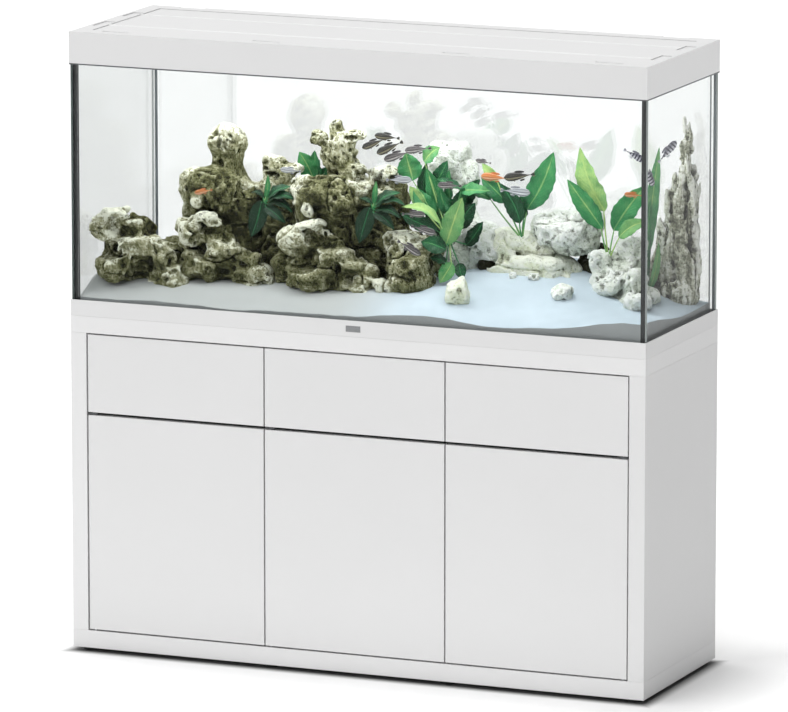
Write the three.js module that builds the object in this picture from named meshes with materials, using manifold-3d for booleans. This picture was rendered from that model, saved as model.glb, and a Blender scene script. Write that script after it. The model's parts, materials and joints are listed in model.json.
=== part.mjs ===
// Aquarium on a cabinet stand: a glass tank with a hinged lid, on a cabinet of three drawers over three doors.
// Millimetres, +Z up, front towards -Y. The origin is on the floor under the middle of the cabinet.
import * as THREE from "three";
import { mergeVertices } from "three/addons/utils/BufferGeometryUtils.js";
import Module from "manifold-3d";

const wasm = await Module();
wasm.setup();

// Overall size, and the gap between pieces that touch.
const WIDTH = 1510;
const DEPTH = 492;
const GAP = 0.3;
const HALF_WIDTH = WIDTH / 2;
const HALF_DEPTH = DEPTH / 2;
const CUT = 2; // how far a cutting solid runs past the face that it opens
const ROUND_SIDES = 24; // sides of a round part
const SAME_POINT = 1e-4; // corners closer than this are one corner

// Heights, from the floor up.
const FOOT_TOP = 10;
const BOTTOM_PANEL_TOP = 53.6;
const TOP_PANEL_UNDERSIDE = 801.6;
const TOP_PANEL_TOP = 842.7;
const BASE_FRAME_TOP = 882.5;
const LID_BOTTOM = 1468.4;
const GLASS_TOP = 1493;
const LID_TOP = 1546;

// Cabinet.
const SIDE_PANEL = 41;
const INNER_X = HALF_WIDTH - SIDE_PANEL;
const BOARD = 18;
const DIVIDER_X = 238;
const DIVIDER_FRONT = -219;
const BACK_PANEL = { thickness: 16, setback: 4 };
const BACK_PANEL_Y = HALF_DEPTH - BACK_PANEL.setback - BACK_PANEL.thickness;
const CABLE_CUTOUT = { x: 480, z: 720, width: 120, height: 60 };
const RAIL = { z: 600, depth: 94 };
const FOOT = { radius: 18, xs: [-720, -235, 235, 720], y: 215 };

// Fronts: the drawers over the doors, set back a little from the edge of the cabinet.
const FRONT_SETBACK = 1.5;
const FRONT_Y = -HALF_DEPTH + FRONT_SETBACK;
const FRONT_GAP = 4;
const DRAWER_DOOR_GAP = 8;
const DOOR_TOP = RAIL.z - DRAWER_DOOR_GAP / 2;
const DOOR_BOTTOM = BOTTOM_PANEL_TOP + FRONT_GAP;
const DRAWER_BOTTOM = RAIL.z + DRAWER_DOOR_GAP / 2;
const DRAWER_TOP = TOP_PANEL_UNDERSIDE - FRONT_GAP;
const PIVOT = { radius: 4, inset: 12, depth: 15, panelDepth: 5, y: FRONT_Y + BOARD / 2 };
const PIVOT_TAB = { width: 24, thickness: 4, front: 7 };
const TRAY = { length: 420, bottom: 620, top: 740, wall: 12, floor: 10 };
const RUNNER = { thickness: 12.7, height: 45, z: 640, length: 400, lip: 10, web: 4, slack: 0.2 };

// Tank.
const FRAME_WALL = 2.5;
const FRAME_SLACK = 0.5;
const FRAME_LEDGE = { thickness: 5, width: 43 };
const GLASS = 12;
const GLASS_X = HALF_WIDTH - FRAME_WALL - FRAME_SLACK;
const GLASS_Y = HALF_DEPTH - FRAME_WALL - GAP;
const INSIDE_X = GLASS_X - GLASS;
const INSIDE_Y = GLASS_Y - GLASS;
const GLASS_BOTTOM = TOP_PANEL_TOP + GAP + FRAME_LEDGE.thickness + GAP;
const TANK_FLOOR = GLASS_BOTTOM + GLASS;
const BEAD = 4;
const BRACE = { width: 100, bottom: 1470, thickness: 10 };
const BADGE = { x: -2, z: 862.5, width: 38, height: 15, thickness: 0.9 };

// Lid.
const SKIRT = 2.5;
const FLANGE = 4.5;
const SEAT = { width: 17, thickness: 3 };
const PANEL_TOP = LID_TOP - 1.5;
const PANEL_THICKNESS = 3;
const HINGE = { radius: 5, front: -98.6, rear: 90.6, pin: 3, pinLength: 6, boss: 20 };
const HINGE_Z = LID_TOP - HINGE.radius;
const FLAP = { x: 713, edge: 199, slack: 0.5 };
const LIP = { width: 7.5, outside: 3.5, thickness: 3 };
const SLOT_DEPTH = FLANGE + 6;
const LED = { x: 690, y: 45, width: 38, height: 18, channel: 30, channelDepth: 3 };
const FINGER_SLOT = { xs: [-645, -244, 251, 645], length: 72, width: 14 };
const REAR_NOTCH = { x: 643, length: 69, depth: 10, height: 15 };
const SIDE_RECESS = { x: 731.5, width: 29, depth: 2, spans: [[-130, -52], [41, 113]] };

// Sand, stone and plants.
const SAND = { x: 731, y: 222, front: 892, rear: 925 };
const STONE_DEPTH = 0.85; // a lump's depth, as a share of its width
const LEAF = { thickness: 4, stem: 3, waist: 0.45 };
const LEAF_TO_STONE = 1;

const materials = {
  white: new THREE.MeshStandardMaterial({ color: 0xe6e6e6, roughness: 0.35, metalness: 0 }),
  front: new THREE.MeshStandardMaterial({ color: 0xe2e2e2, roughness: 0.3, metalness: 0 }),
  board: new THREE.MeshStandardMaterial({ color: 0xd8d8d6, roughness: 0.6, metalness: 0 }),
  rail: new THREE.MeshStandardMaterial({ color: 0x55585a, roughness: 0.5, metalness: 0 }),
  steel: new THREE.MeshStandardMaterial({ color: 0xb8babc, roughness: 0.35, metalness: 1 }),
  rubber: new THREE.MeshStandardMaterial({ color: 0x1a1a1a, roughness: 0.8, metalness: 0 }),
  lid: new THREE.MeshStandardMaterial({ color: 0xe4e4e4, roughness: 0.3, metalness: 0 }),
  glass: new THREE.MeshStandardMaterial({
    color: 0xdfeeea,
    roughness: 0.02,
    metalness: 0,
    transparent: true,
    opacity: 0.2,
  }),
  silicone: new THREE.MeshStandardMaterial({ color: 0x16181a, roughness: 0.45, metalness: 0 }),
  badge: new THREE.MeshStandardMaterial({ color: 0x9a9c9e, roughness: 0.35, metalness: 0.8 }),
  aluminium: new THREE.MeshStandardMaterial({ color: 0xc4c6c8, roughness: 0.35, metalness: 1 }),
  sand: new THREE.MeshStandardMaterial({ color: 0xe9edf1, roughness: 0.95, metalness: 0 }),
  darkStone: new THREE.MeshStandardMaterial({ color: 0x8c8a72, roughness: 0.9, metalness: 0 }),
  paleStone: new THREE.MeshStandardMaterial({ color: 0xc9c9bb, roughness: 0.9, metalness: 0 }),
  spireStone: new THREE.MeshStandardMaterial({ color: 0x8f8c80, roughness: 0.9, metalness: 0 }),
  leaf: new THREE.MeshStandardMaterial({ color: 0x2f6b2d, roughness: 0.5, metalness: 0 }),
};

// A closed geometry as a solid that can be joined and cut.
function solidOf(geometry) {
  const bare = new THREE.BufferGeometry();
  bare.setAttribute("position", geometry.getAttribute("position"));
  bare.setIndex(geometry.index);
  const merged = mergeVertices(bare, SAME_POINT);
  const mesh = new wasm.Mesh({
    numProp: 3,
    vertProperties: merged.getAttribute("position").array,
    triVerts: new Uint32Array(merged.index.array),
  });
  return new wasm.Manifold(mesh);
}

function geometryOf(solid) {
  const made = solid.getMesh();
  const geometry = new THREE.BufferGeometry();
  geometry.setAttribute("position", new THREE.BufferAttribute(made.vertProperties, made.numProp));
  geometry.setIndex(new THREE.BufferAttribute(made.triVerts, 1));
  geometry.computeVertexNormals();
  return geometry;
}

// A box from its span on each axis.
function boxGeometry([x0, x1], [y0, y1], [z0, z1]) {
  const geometry = new THREE.BoxGeometry(x1 - x0, y1 - y0, z1 - z0);
  return geometry.translate((x0 + x1) / 2, (y0 + y1) / 2, (z0 + z1) / 2);
}

function box(x, y, z) {
  return solidOf(boxGeometry(x, y, z));
}

function uprightCylinder(radius, x, y, [z0, z1]) {
  const geometry = new THREE.CylinderGeometry(radius, radius, z1 - z0, ROUND_SIDES);
  geometry.rotateX(Math.PI / 2);
  return solidOf(geometry.translate(x, y, (z0 + z1) / 2));
}

function cylinderAlongX(radius, [x0, x1], y, z) {
  const geometry = new THREE.CylinderGeometry(radius, radius, x1 - x0, ROUND_SIDES);
  geometry.rotateZ(Math.PI / 2);
  return solidOf(geometry.translate((x0 + x1) / 2, y, z));
}

// An outline drawn in the (Y, Z) plane, extruded along X.
function extrudeAlongX(outline, [x0, x1]) {
  const shape = new THREE.Shape(outline.map(([y, z]) => new THREE.Vector2(y, z)));
  const geometry = new THREE.ExtrudeGeometry(shape, { depth: x1 - x0, bevelEnabled: false });
  const basis = new THREE.Matrix4().makeBasis(
    new THREE.Vector3(0, 1, 0),
    new THREE.Vector3(0, 0, 1),
    new THREE.Vector3(1, 0, 0),
  );
  return solidOf(geometry.applyMatrix4(basis).translate(x0, 0, 0));
}

// The same, with the outline in (X, Z), extruded along Y.
function extrudeAlongY(outline, [y0, y1]) {
  const shape = new THREE.Shape(outline.map(([x, z]) => new THREE.Vector2(x, z)));
  const geometry = new THREE.ExtrudeGeometry(shape, { depth: y1 - y0, bevelEnabled: false });
  return solidOf(geometry.rotateX(Math.PI / 2).translate(0, y1, 0));
}

// The same, with the outline in (X, Y), extruded along Z.
function extrudeAlongZ(outline, [z0, z1]) {
  const shape = new THREE.Shape(outline.map(([x, y]) => new THREE.Vector2(x, y)));
  const geometry = new THREE.ExtrudeGeometry(shape, { depth: z1 - z0, bevelEnabled: false });
  return solidOf(geometry.translate(0, 0, z0));
}

function join(solids) {
  return solids.reduce((whole, solid) => whole.add(solid));
}

function cut(solid, cutters) {
  return cutters.reduce((whole, cutter) => whole.subtract(cutter), solid);
}

const both = (half) => [-half, half];
const mirrored = ([low, high]) => [-high, -low];
const around = (middle, width) => [middle - width / 2, middle + width / 2];

const aquarium = new THREE.Group();

function addMesh(name, geometry, material) {
  const mesh = new THREE.Mesh(geometry, material);
  mesh.name = name;
  aquarium.add(mesh);
}

function addSolid(name, solid, material) {
  addMesh(name, geometryOf(solid), material);
}

// ---- Cabinet ----

// The three compartments between the side panels and the dividers.
const compartments = [
  { name: "left", inside: [-INNER_X, -DIVIDER_X - BOARD / 2], hinge: "left" },
  { name: "middle", inside: both(DIVIDER_X - BOARD / 2), hinge: "left" },
  { name: "right", inside: [DIVIDER_X + BOARD / 2, INNER_X], hinge: "right" },
];
const frontSpans = {
  left: [-INNER_X + FRONT_GAP, -DIVIDER_X - FRONT_GAP / 2],
  middle: both(DIVIDER_X - FRONT_GAP / 2),
  right: [DIVIDER_X + FRONT_GAP / 2, INNER_X - FRONT_GAP],
};

function pivotX({ name, hinge }) {
  const [left, right] = frontSpans[name];
  return hinge === "left" ? left + PIVOT.inset : right - PIVOT.inset;
}

function pivotHole(x, z) {
  return uprightCylinder(PIVOT.radius + GAP, x, PIVOT.y, z);
}

function addCarcass() {
  const holeDepth = [BOTTOM_PANEL_TOP - PIVOT.panelDepth, BOTTOM_PANEL_TOP + CUT];
  const holes = compartments.map((compartment) => pivotHole(pivotX(compartment), holeDepth));
  const bottom = box(both(HALF_WIDTH), both(HALF_DEPTH), [FOOT_TOP, BOTTOM_PANEL_TOP]);
  addSolid("bottom_panel", cut(bottom, holes), materials.white);
  const topZ = [TOP_PANEL_UNDERSIDE, TOP_PANEL_TOP];
  addMesh("top_panel", boxGeometry(both(HALF_WIDTH), both(HALF_DEPTH), topZ), materials.white);
  const sideZ = [BOTTOM_PANEL_TOP + GAP, TOP_PANEL_UNDERSIDE - GAP];
  const sideX = [INNER_X, HALF_WIDTH];
  addMesh("right_side_panel", boxGeometry(sideX, both(HALF_DEPTH), sideZ), materials.white);
  addMesh("left_side_panel", boxGeometry(mirrored(sideX), both(HALF_DEPTH), sideZ), materials.white);
}

// A divider is notched at the front, where the rail crosses it.
function addDivider(name, x) {
  const z = [BOTTOM_PANEL_TOP + GAP, TOP_PANEL_UNDERSIDE - GAP];
  const board = box(around(x, BOARD), [DIVIDER_FRONT, BACK_PANEL_Y - GAP], z);
  const notch = box(
    around(x, BOARD + 2 * CUT),
    [DIVIDER_FRONT - CUT, DIVIDER_FRONT + RAIL.depth + GAP],
    around(RAIL.z, BOARD + 2 * GAP),
  );
  addSolid(name, cut(board, [notch]), materials.board);
}

// The rail crosses behind the gap between drawers and doors, and its tabs hold the upper door pivots.
function addMiddleRail() {
  const board = box(
    both(INNER_X - GAP),
    [DIVIDER_FRONT, DIVIDER_FRONT + RAIL.depth],
    around(RAIL.z, BOARD),
  );
  const tabY = [PIVOT.y - PIVOT_TAB.front, DIVIDER_FRONT + CUT];
  const tabZ = around(RAIL.z, PIVOT_TAB.thickness);
  const xs = compartments.map(pivotX);
  const tabs = xs.map((x) => box(around(x, PIVOT_TAB.width), tabY, tabZ));
  const holes = xs.map((x) => pivotHole(x, around(RAIL.z, PIVOT_TAB.thickness + 2 * CUT)));
  addSolid("middle_rail", cut(join([board, ...tabs]), holes), materials.rail);
}

function addBackPanel() {
  const z = [BOTTOM_PANEL_TOP + GAP, TOP_PANEL_UNDERSIDE - GAP];
  const y = [BACK_PANEL_Y, BACK_PANEL_Y + BACK_PANEL.thickness];
  const panel = box(both(INNER_X - GAP), y, z);
  const cutouts = [-1, 1].map((side) =>
    box(
      around(side * CABLE_CUTOUT.x, CABLE_CUTOUT.width),
      [y[0] - CUT, y[1] + CUT],
      around(CABLE_CUTOUT.z, CABLE_CUTOUT.height),
    ),
  );
  addSolid("back_panel", cut(panel, cutouts), materials.board);
}

function addFeet() {
  for (const [row, y] of [["front", -FOOT.y], ["rear", FOOT.y]]) {
    FOOT.xs.forEach((x, place) => {
      const foot = uprightCylinder(FOOT.radius, x, y, [0, FOOT_TOP - GAP]);
      addSolid(`foot_${row}_${place + 1}`, foot, materials.rubber);
    });
  }
}

// ---- Drawers ----

const FRONT_SPAN_Y = [FRONT_Y, FRONT_Y + BOARD];

function addDrawer({ name, inside: [left, right] }) {
  const front = boxGeometry(frontSpans[name], FRONT_SPAN_Y, [DRAWER_BOTTOM, DRAWER_TOP]);
  addMesh(`${name}_drawer_front`, front, materials.front);
  const clear = RUNNER.thickness + 2 * GAP + RUNNER.slack;
  const x = [left + clear, right - clear];
  const y = [FRONT_SPAN_Y[1] + GAP, FRONT_SPAN_Y[1] + GAP + TRAY.length];
  const hollow = box(
    [x[0] + TRAY.wall, x[1] - TRAY.wall],
    [y[0] + TRAY.wall, y[1] - TRAY.wall],
    [TRAY.bottom + TRAY.floor, TRAY.top + CUT],
  );
  const tray = box(x, y, [TRAY.bottom, TRAY.top]);
  addSolid(`${name}_drawer_tray`, cut(tray, [hollow]), materials.board);
}

// A runner is a channel that opens towards the tray.
function runnerOutline(wall, facing) {
  const web = wall + facing * RUNNER.web;
  const open = wall + facing * RUNNER.thickness;
  const low = RUNNER.z;
  const high = RUNNER.z + RUNNER.height;
  const outline = [
    [wall, low],
    [open, low],
    [open, low + RUNNER.lip],
    [web, low + RUNNER.lip],
    [web, high - RUNNER.lip],
    [open, high - RUNNER.lip],
    [open, high],
    [wall, high],
  ];
  return facing > 0 ? outline : outline.reverse();
}

function addRunners({ name, inside: [left, right] }) {
  const y = both(RUNNER.length / 2);
  const leftRunner = extrudeAlongY(runnerOutline(left + GAP, 1), y);
  const rightRunner = extrudeAlongY(runnerOutline(right - GAP, -1), y);
  addSolid(`${name}_drawer_runner_left`, leftRunner, materials.steel);
  addSolid(`${name}_drawer_runner_right`, rightRunner, materials.steel);
}

// ---- Doors ----

function addDoor(compartment) {
  const { name } = compartment;
  const x = pivotX(compartment);
  const panel = box(frontSpans[name], FRONT_SPAN_Y, [DOOR_BOTTOM, DOOR_TOP]);
  const reach = PIVOT.depth + GAP;
  const holes = [
    pivotHole(x, [DOOR_BOTTOM - CUT, DOOR_BOTTOM + reach]),
    pivotHole(x, [DOOR_TOP - reach, DOOR_TOP + CUT]),
  ];
  addSolid(`${name}_door`, cut(panel, holes), materials.front);
  const lower = [BOTTOM_PANEL_TOP - PIVOT.panelDepth + GAP, DOOR_BOTTOM + PIVOT.depth];
  const upper = [DOOR_TOP - PIVOT.depth, RAIL.z + PIVOT_TAB.thickness / 2 - GAP];
  for (const [end, span] of [["lower", lower], ["upper", upper]]) {
    const pin = uprightCylinder(PIVOT.radius, x, PIVOT.y, span);
    addSolid(`${name}_door_pivot_${end}`, pin, materials.steel);
  }
}

// ---- Tank ----

function addBaseFrame() {
  const z = [TOP_PANEL_TOP + GAP, BASE_FRAME_TOP];
  const ledgeTop = z[0] + FRAME_LEDGE.thickness;
  const wallX = both(HALF_WIDTH - FRAME_WALL);
  const wallY = both(HALF_DEPTH - FRAME_WALL);
  const ring = box(both(HALF_WIDTH), both(HALF_DEPTH), z);
  const seat = box(wallX, wallY, [ledgeTop, z[1] + CUT]);
  const openX = both(HALF_WIDTH - FRAME_LEDGE.width);
  const openY = both(HALF_DEPTH - FRAME_LEDGE.width);
  const open = box(openX, openY, [z[0] - CUT, z[1] + CUT]);
  const badgePocket = box(
    around(BADGE.x, BADGE.width + 2 * GAP),
    [-HALF_DEPTH - CUT, -HALF_DEPTH + BADGE.thickness + GAP],
    around(BADGE.z, BADGE.height + 2 * GAP),
  );
  addSolid("base_frame", cut(ring, [seat, open, badgePocket]), materials.white);
  const badge = boxGeometry(
    around(BADGE.x, BADGE.width),
    [-HALF_DEPTH, -HALF_DEPTH + BADGE.thickness],
    around(BADGE.z, BADGE.height),
  );
  addMesh("badge", badge, materials.badge);
}

function addGlass() {
  const z = [GLASS_BOTTOM, GLASS_TOP];
  const frontY = [-GLASS_Y, -INSIDE_Y];
  const sideX = [INSIDE_X, GLASS_X];
  const betweenX = both(INSIDE_X - GAP);
  const betweenY = both(INSIDE_Y - GAP);
  addMesh("glass_front", boxGeometry(both(GLASS_X), frontY, z), materials.glass);
  addMesh("glass_back", boxGeometry(both(GLASS_X), mirrored(frontY), z), materials.glass);
  addMesh("glass_right", boxGeometry(sideX, betweenY, z), materials.glass);
  addMesh("glass_left", boxGeometry(mirrored(sideX), betweenY, z), materials.glass);
  const floorZ = [GLASS_BOTTOM, TANK_FLOOR];
  addMesh("glass_bottom", boxGeometry(betweenX, betweenY, floorZ), materials.glass);
  const braceZ = [BRACE.bottom, BRACE.bottom + BRACE.thickness];
  addMesh("cross_brace", boxGeometry(both(BRACE.width / 2), betweenY, braceZ), materials.glass);
}

// Beads of silicone fill the four upright corners and run round the tank's floor, as one body.
function addSilicone() {
  const x = INSIDE_X - GAP;
  const y = INSIDE_Y - GAP;
  const floor = TANK_FLOOR + GAP;
  const upright = [floor, BRACE.bottom];
  const corner = ([sideX, sideY]) => {
    const outline = [
      [sideX * x, sideY * y],
      [sideX * (x - BEAD), sideY * y],
      [sideX * x, sideY * (y - BEAD)],
    ];
    return extrudeAlongZ(sideX * sideY > 0 ? outline : outline.reverse(), upright);
  };
  const alongX = (side) => {
    const outline = [
      [side * y, floor],
      [side * y, floor + BEAD],
      [side * (y - BEAD), floor],
    ];
    return extrudeAlongX(side > 0 ? outline : outline.reverse(), both(x));
  };
  const alongY = (side) => {
    const outline = [
      [side * x, floor],
      [side * x, floor + BEAD],
      [side * (x - BEAD), floor],
    ];
    return extrudeAlongY(side > 0 ? outline : outline.reverse(), both(y));
  };
  const corners = [[-1, -1], [1, -1], [-1, 1], [1, 1]].map(corner);
  const edges = [-1, 1].flatMap((side) => [alongX(side), alongY(side)]);
  addSolid("silicone_joints", join([...corners, ...edges]), materials.silicone);
}

// ---- Lid ----

// The two flaps lie between a hinge by the middle of the lid and their free edge near the rim.
const flaps = [
  { name: "front_flap", hinge: HINGE.front, outward: -1 },
  { name: "rear_flap", hinge: HINGE.rear, outward: 1 },
];
const ordered = (a, b) => [Math.min(a, b), Math.max(a, b)];

function addFlap({ name, hinge, outward }) {
  const plate = box(
    both(FLAP.x),
    ordered(hinge, outward * FLAP.edge),
    [PANEL_TOP - PANEL_THICKNESS, PANEL_TOP],
  );
  const barrel = cylinderAlongX(HINGE.radius, both(FLAP.x), hinge, HINGE_Z);
  const pins = cylinderAlongX(HINGE.pin, both(FLAP.x + HINGE.pinLength), hinge, HINGE_Z);
  addSolid(name, join([plate, barrel, pins]), materials.lid);
}

// A lip under three edges of each flap holds it up when it is shut.
function flapLip({ hinge, outward }) {
  return box(
    both(FLAP.x + FLAP.slack + LIP.outside),
    ordered(hinge, outward * (FLAP.edge + FLAP.slack + LIP.outside)),
    [PANEL_TOP - PANEL_THICKNESS - GAP - LIP.thickness, LID_TOP - 2 * GAP],
  );
}

function flapCuts({ hinge, outward }) {
  const x = FLAP.x + FLAP.slack;
  const edge = outward * (FLAP.edge + FLAP.slack);
  const lipTop = PANEL_TOP - PANEL_THICKNESS - GAP;
  const through = [lipTop - LIP.thickness - CUT, LID_TOP + CUT];
  return [
    box(both(x), ordered(hinge, edge), [lipTop, LID_TOP + CUT]),
    box(both(x - LIP.width), ordered(hinge, edge - outward * LIP.width), through),
    cylinderAlongX(HINGE.radius + 2 * GAP, both(x), hinge, HINGE_Z),
  ];
}

// Bosses under the flange carry the pins at the ends of the flaps' barrels.
function hingeBosses({ hinge }) {
  const reach = [FLAP.x + FLAP.slack, FLAP.x + HINGE.pinLength + LIP.thickness];
  const y = around(hinge, HINGE.boss);
  const z = [HINGE_Z - 2 * HINGE.radius, LID_TOP - FLANGE + GAP];
  return [box(reach, y, z), box(mirrored(reach), y, z)];
}

function pinHole({ hinge }) {
  const reach = both(FLAP.x + HINGE.pinLength + GAP);
  return cylinderAlongX(HINGE.pin + GAP, reach, hinge, HINGE_Z);
}

function lidShell() {
  const z = [LID_BOTTOM, LID_TOP];
  const hollow = box(
    both(HALF_WIDTH - SKIRT),
    both(HALF_DEPTH - SKIRT),
    [LID_BOTTOM - CUT, LID_TOP - FLANGE],
  );
  return cut(box(both(HALF_WIDTH), both(HALF_DEPTH), z), [hollow]);
}

// The lid sits on the top edge of the glass by a ledge inside its skirt.
function lidSeat() {
  const x = HALF_WIDTH - SKIRT;
  const y = HALF_DEPTH - SKIRT;
  const z = [GLASS_TOP + GAP, GLASS_TOP + GAP + SEAT.thickness];
  const ring = box(both(x + GAP), both(y + GAP), z);
  const open = box(both(x - SEAT.width), both(y - SEAT.width), [z[0] - CUT, z[1] + CUT]);
  return cut(ring, [open]);
}

function topCuts() {
  const deckTop = [PANEL_TOP, LID_TOP + CUT];
  const flangeThrough = [LID_TOP - SLOT_DEPTH, LID_TOP + CUT];
  const edge = -FLAP.edge - FLAP.slack;
  const fingerSlots = FINGER_SLOT.xs.map((x) =>
    box(around(x, FINGER_SLOT.length), [edge - FINGER_SLOT.width, edge + GAP], flangeThrough),
  );
  const rearNotches = [-1, 1].map((side) =>
    box(
      around(side * REAR_NOTCH.x, REAR_NOTCH.length),
      [HALF_DEPTH - REAR_NOTCH.depth, HALF_DEPTH + CUT],
      [LID_TOP - REAR_NOTCH.height, LID_TOP + CUT],
    ),
  );
  const sideRecesses = [-1, 1].flatMap((side) =>
    SIDE_RECESS.spans.map((span) =>
      box(
        around(side * SIDE_RECESS.x, SIDE_RECESS.width),
        span,
        [LID_TOP - SIDE_RECESS.depth, LID_TOP + CUT],
      ),
    ),
  );
  const deck = box(both(FLAP.x + FLAP.slack), [HINGE.front, HINGE.rear], deckTop);
  return [deck, ...fingerSlots, ...rearNotches, ...sideRecesses];
}

function addLidFrame() {
  const solids = [lidShell(), lidSeat(), ...flaps.map(flapLip), ...flaps.flatMap(hingeBosses)];
  const cuts = [...flaps.flatMap(flapCuts), ...flaps.map(pinHole), ...topCuts()];
  addSolid("lid_frame", cut(join(solids), cuts), materials.lid);
}

// A light bar is an aluminium profile under the middle of the lid, with a channel below for the light strip.
function addLightBar(name, y) {
  const deckUnderside = LID_TOP - FLANGE;
  const top = deckUnderside - GAP;
  const profile = box(both(LED.x), around(y, LED.width), [top - LED.height, top]);
  const channel = box(
    both(LED.x + CUT),
    around(y, LED.channel),
    [top - LED.height - CUT, top - LED.height + LED.channelDepth],
  );
  addSolid(name, cut(profile, [channel]), materials.aluminium);
}

// ---- Sand, stone and plants ----

// The sand rises from the front of the tank to the back.
function sandBlock(lift) {
  const floor = TANK_FLOOR + GAP;
  const outline = [
    [-SAND.y, floor],
    [SAND.y, floor],
    [SAND.y, SAND.rear + lift],
    [-SAND.y, SAND.front + lift],
  ];
  return extrudeAlongX(outline, both(SAND.x));
}

// A lump of stone: a faceted ball given by its middle and its half width and half height.
function lump([x, y, z, halfWidth, halfHeight], grow) {
  const ball = new THREE.DodecahedronGeometry(1);
  ball.scale(halfWidth + grow, halfWidth * STONE_DEPTH + grow, halfHeight + grow);
  return solidOf(ball.translate(x, y, z));
}

const leftStones = [
  [-690, -165, 1040, 36, 36],
  [-672, -160, 965, 56, 52],
  [-640, -150, 920, 60, 36],
  [-635, -160, 1010, 34, 38],
  [-585, -110, 1015, 44, 42],
  [-565, -100, 965, 55, 52],
  [-600, -125, 920, 66, 40],
  [-530, -90, 925, 60, 36],
  [-485, -90, 1045, 52, 42],
  [-475, -85, 955, 60, 60],
  [-420, -70, 1000, 50, 52],
  [-460, -30, 1125, 70, 62],
  [-440, 0, 1210, 42, 62],
  [-438, 0, 1280, 38, 36],
  [-385, 10, 1175, 36, 34],
  [-320, 40, 1180, 40, 44],
  [-340, 40, 1110, 34, 50],
  [-400, 0, 1060, 60, 60],
  [-370, -30, 985, 60, 60],
  [-330, 20, 1035, 52, 60],
  [-290, 0, 960, 60, 56],
  [-238, -50, 935, 70, 46],
  [-200, -95, 1050, 50, 42],
  [-185, -95, 960, 60, 62],
  [-130, -80, 1005, 50, 52],
  [-170, -40, 1130, 72, 62],
  [-150, -15, 1215, 44, 62],
  [-138, -10, 1285, 38, 42],
  [-95, 0, 1185, 38, 36],
  [-35, 30, 1185, 42, 46],
  [-60, 20, 1115, 36, 50],
  [-110, -10, 1065, 60, 60],
  [-80, -50, 990, 62, 60],
  [-20, -60, 960, 60, 50],
  [60, -50, 965, 62, 52],
  [105, -45, 1000, 60, 58],
  [35, -30, 1045, 46, 36],
];
const rightStones = [
  [85, 155, 1195, 48, 62],
  [90, 150, 1100, 50, 66],
  [110, 145, 1000, 56, 70],
  [170, 90, 975, 60, 56],
  [195, 95, 1025, 52, 46],
  [270, 100, 960, 66, 46],
  [320, 95, 995, 84, 36],
  [345, 100, 960, 70, 36],
  [405, 115, 1065, 74, 46],
  [430, 120, 1000, 56, 60],
  [510, 100, 960, 70, 50],
  [535, 90, 1000, 52, 50],
  [565, 125, 1035, 40, 32],
];
const spireStones = [
  [690, 180, 950, 38, 60],
  [694, 185, 1030, 40, 66],
  [692, 190, 1120, 38, 66],
  [686, 190, 1205, 38, 60],
  [684, 190, 1280, 28, 50],
  [687, 190, 1322, 15, 30],
];

function stonePile(stones, grow = 0) {
  return join(stones.map((stone) => lump(stone, grow)));
}

function addStones(name, stones, material) {
  addSolid(name, cut(stonePile(stones), [sandBlock(GAP)]), material);
}

// A leaf leans away from the plant's foot: a flat six-sided blade on a stem, ending at its tip.
function leaf(foot, [tipX, tipY, tipZ], width) {
  const start = new THREE.Vector3(...foot);
  const tip = new THREE.Vector3(tipX, tipY, tipZ);
  const length = start.distanceTo(tip);
  const bladeFrom = length * LEAF.waist;
  const outline = [
    [-LEAF.stem, 0],
    [LEAF.stem, 0],
    [LEAF.stem, bladeFrom],
    [width / 2, (bladeFrom + length) / 2],
    [0, length],
    [-width / 2, (bladeFrom + length) / 2],
    [-LEAF.stem, bladeFrom],
  ];
  const shape = new THREE.Shape(outline.map(([x, y]) => new THREE.Vector2(x, y)));
  const blade = new THREE.ExtrudeGeometry(shape, { depth: LEAF.thickness, bevelEnabled: false });
  blade.translate(0, 0, -LEAF.thickness / 2);
  const along = tip.clone().sub(start).normalize();
  const across = new THREE.Vector3(1, 0, 0).cross(along).normalize();
  const side = along.clone().cross(across);
  blade.applyMatrix4(new THREE.Matrix4().makeBasis(side, along, across));
  return solidOf(blade.translate(...foot));
}

// Each plant is a foot on the sand or stone, a short crown, and leaves given by their tips and widths.
const plants = [
  {
    name: "plant_left",
    foot: [-345, -75, 1085],
    crown: 14,
    leaves: [
      [[-410, -110, 1120], 40],
      [[-350, -130, 1140], 40],
      [[-280, -90, 1140], 40],
      [[-300, -130, 1080], 36],
    ],
  },
  {
    name: "plant_middle",
    foot: [-55, -90, 1085],
    crown: 14,
    leaves: [
      [[-110, -120, 1130], 40],
      [[-50, -140, 1145], 40],
      [[15, -100, 1150], 40],
      [[0, -140, 1080], 36],
    ],
  },
  {
    name: "plant_broad_leaved",
    foot: [150, -20, 1075],
    crown: 18,
    leaves: [
      [[60, -40, 1225], 56],
      [[100, -20, 1255], 50],
      [[245, -10, 1140], 56],
      [[190, -70, 1180], 50],
      [[40, -80, 1150], 50],
    ],
  },
  {
    name: "plant_long_stemmed",
    foot: [320, 45, 1040],
    crown: 14,
    leaves: [
      [[395, 50, 1270], 50],
      [[235, 35, 1200], 50],
      [[300, 20, 1185], 40],
    ],
  },
  {
    name: "plant_right",
    foot: [545, 30, 1060],
    crown: 12,
    leaves: [
      [[490, 45, 1285], 50],
      [[460, 30, 1205], 40],
      [[625, 45, 1200], 50],
      [[630, 20, 1140], 44],
    ],
  },
];

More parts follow.
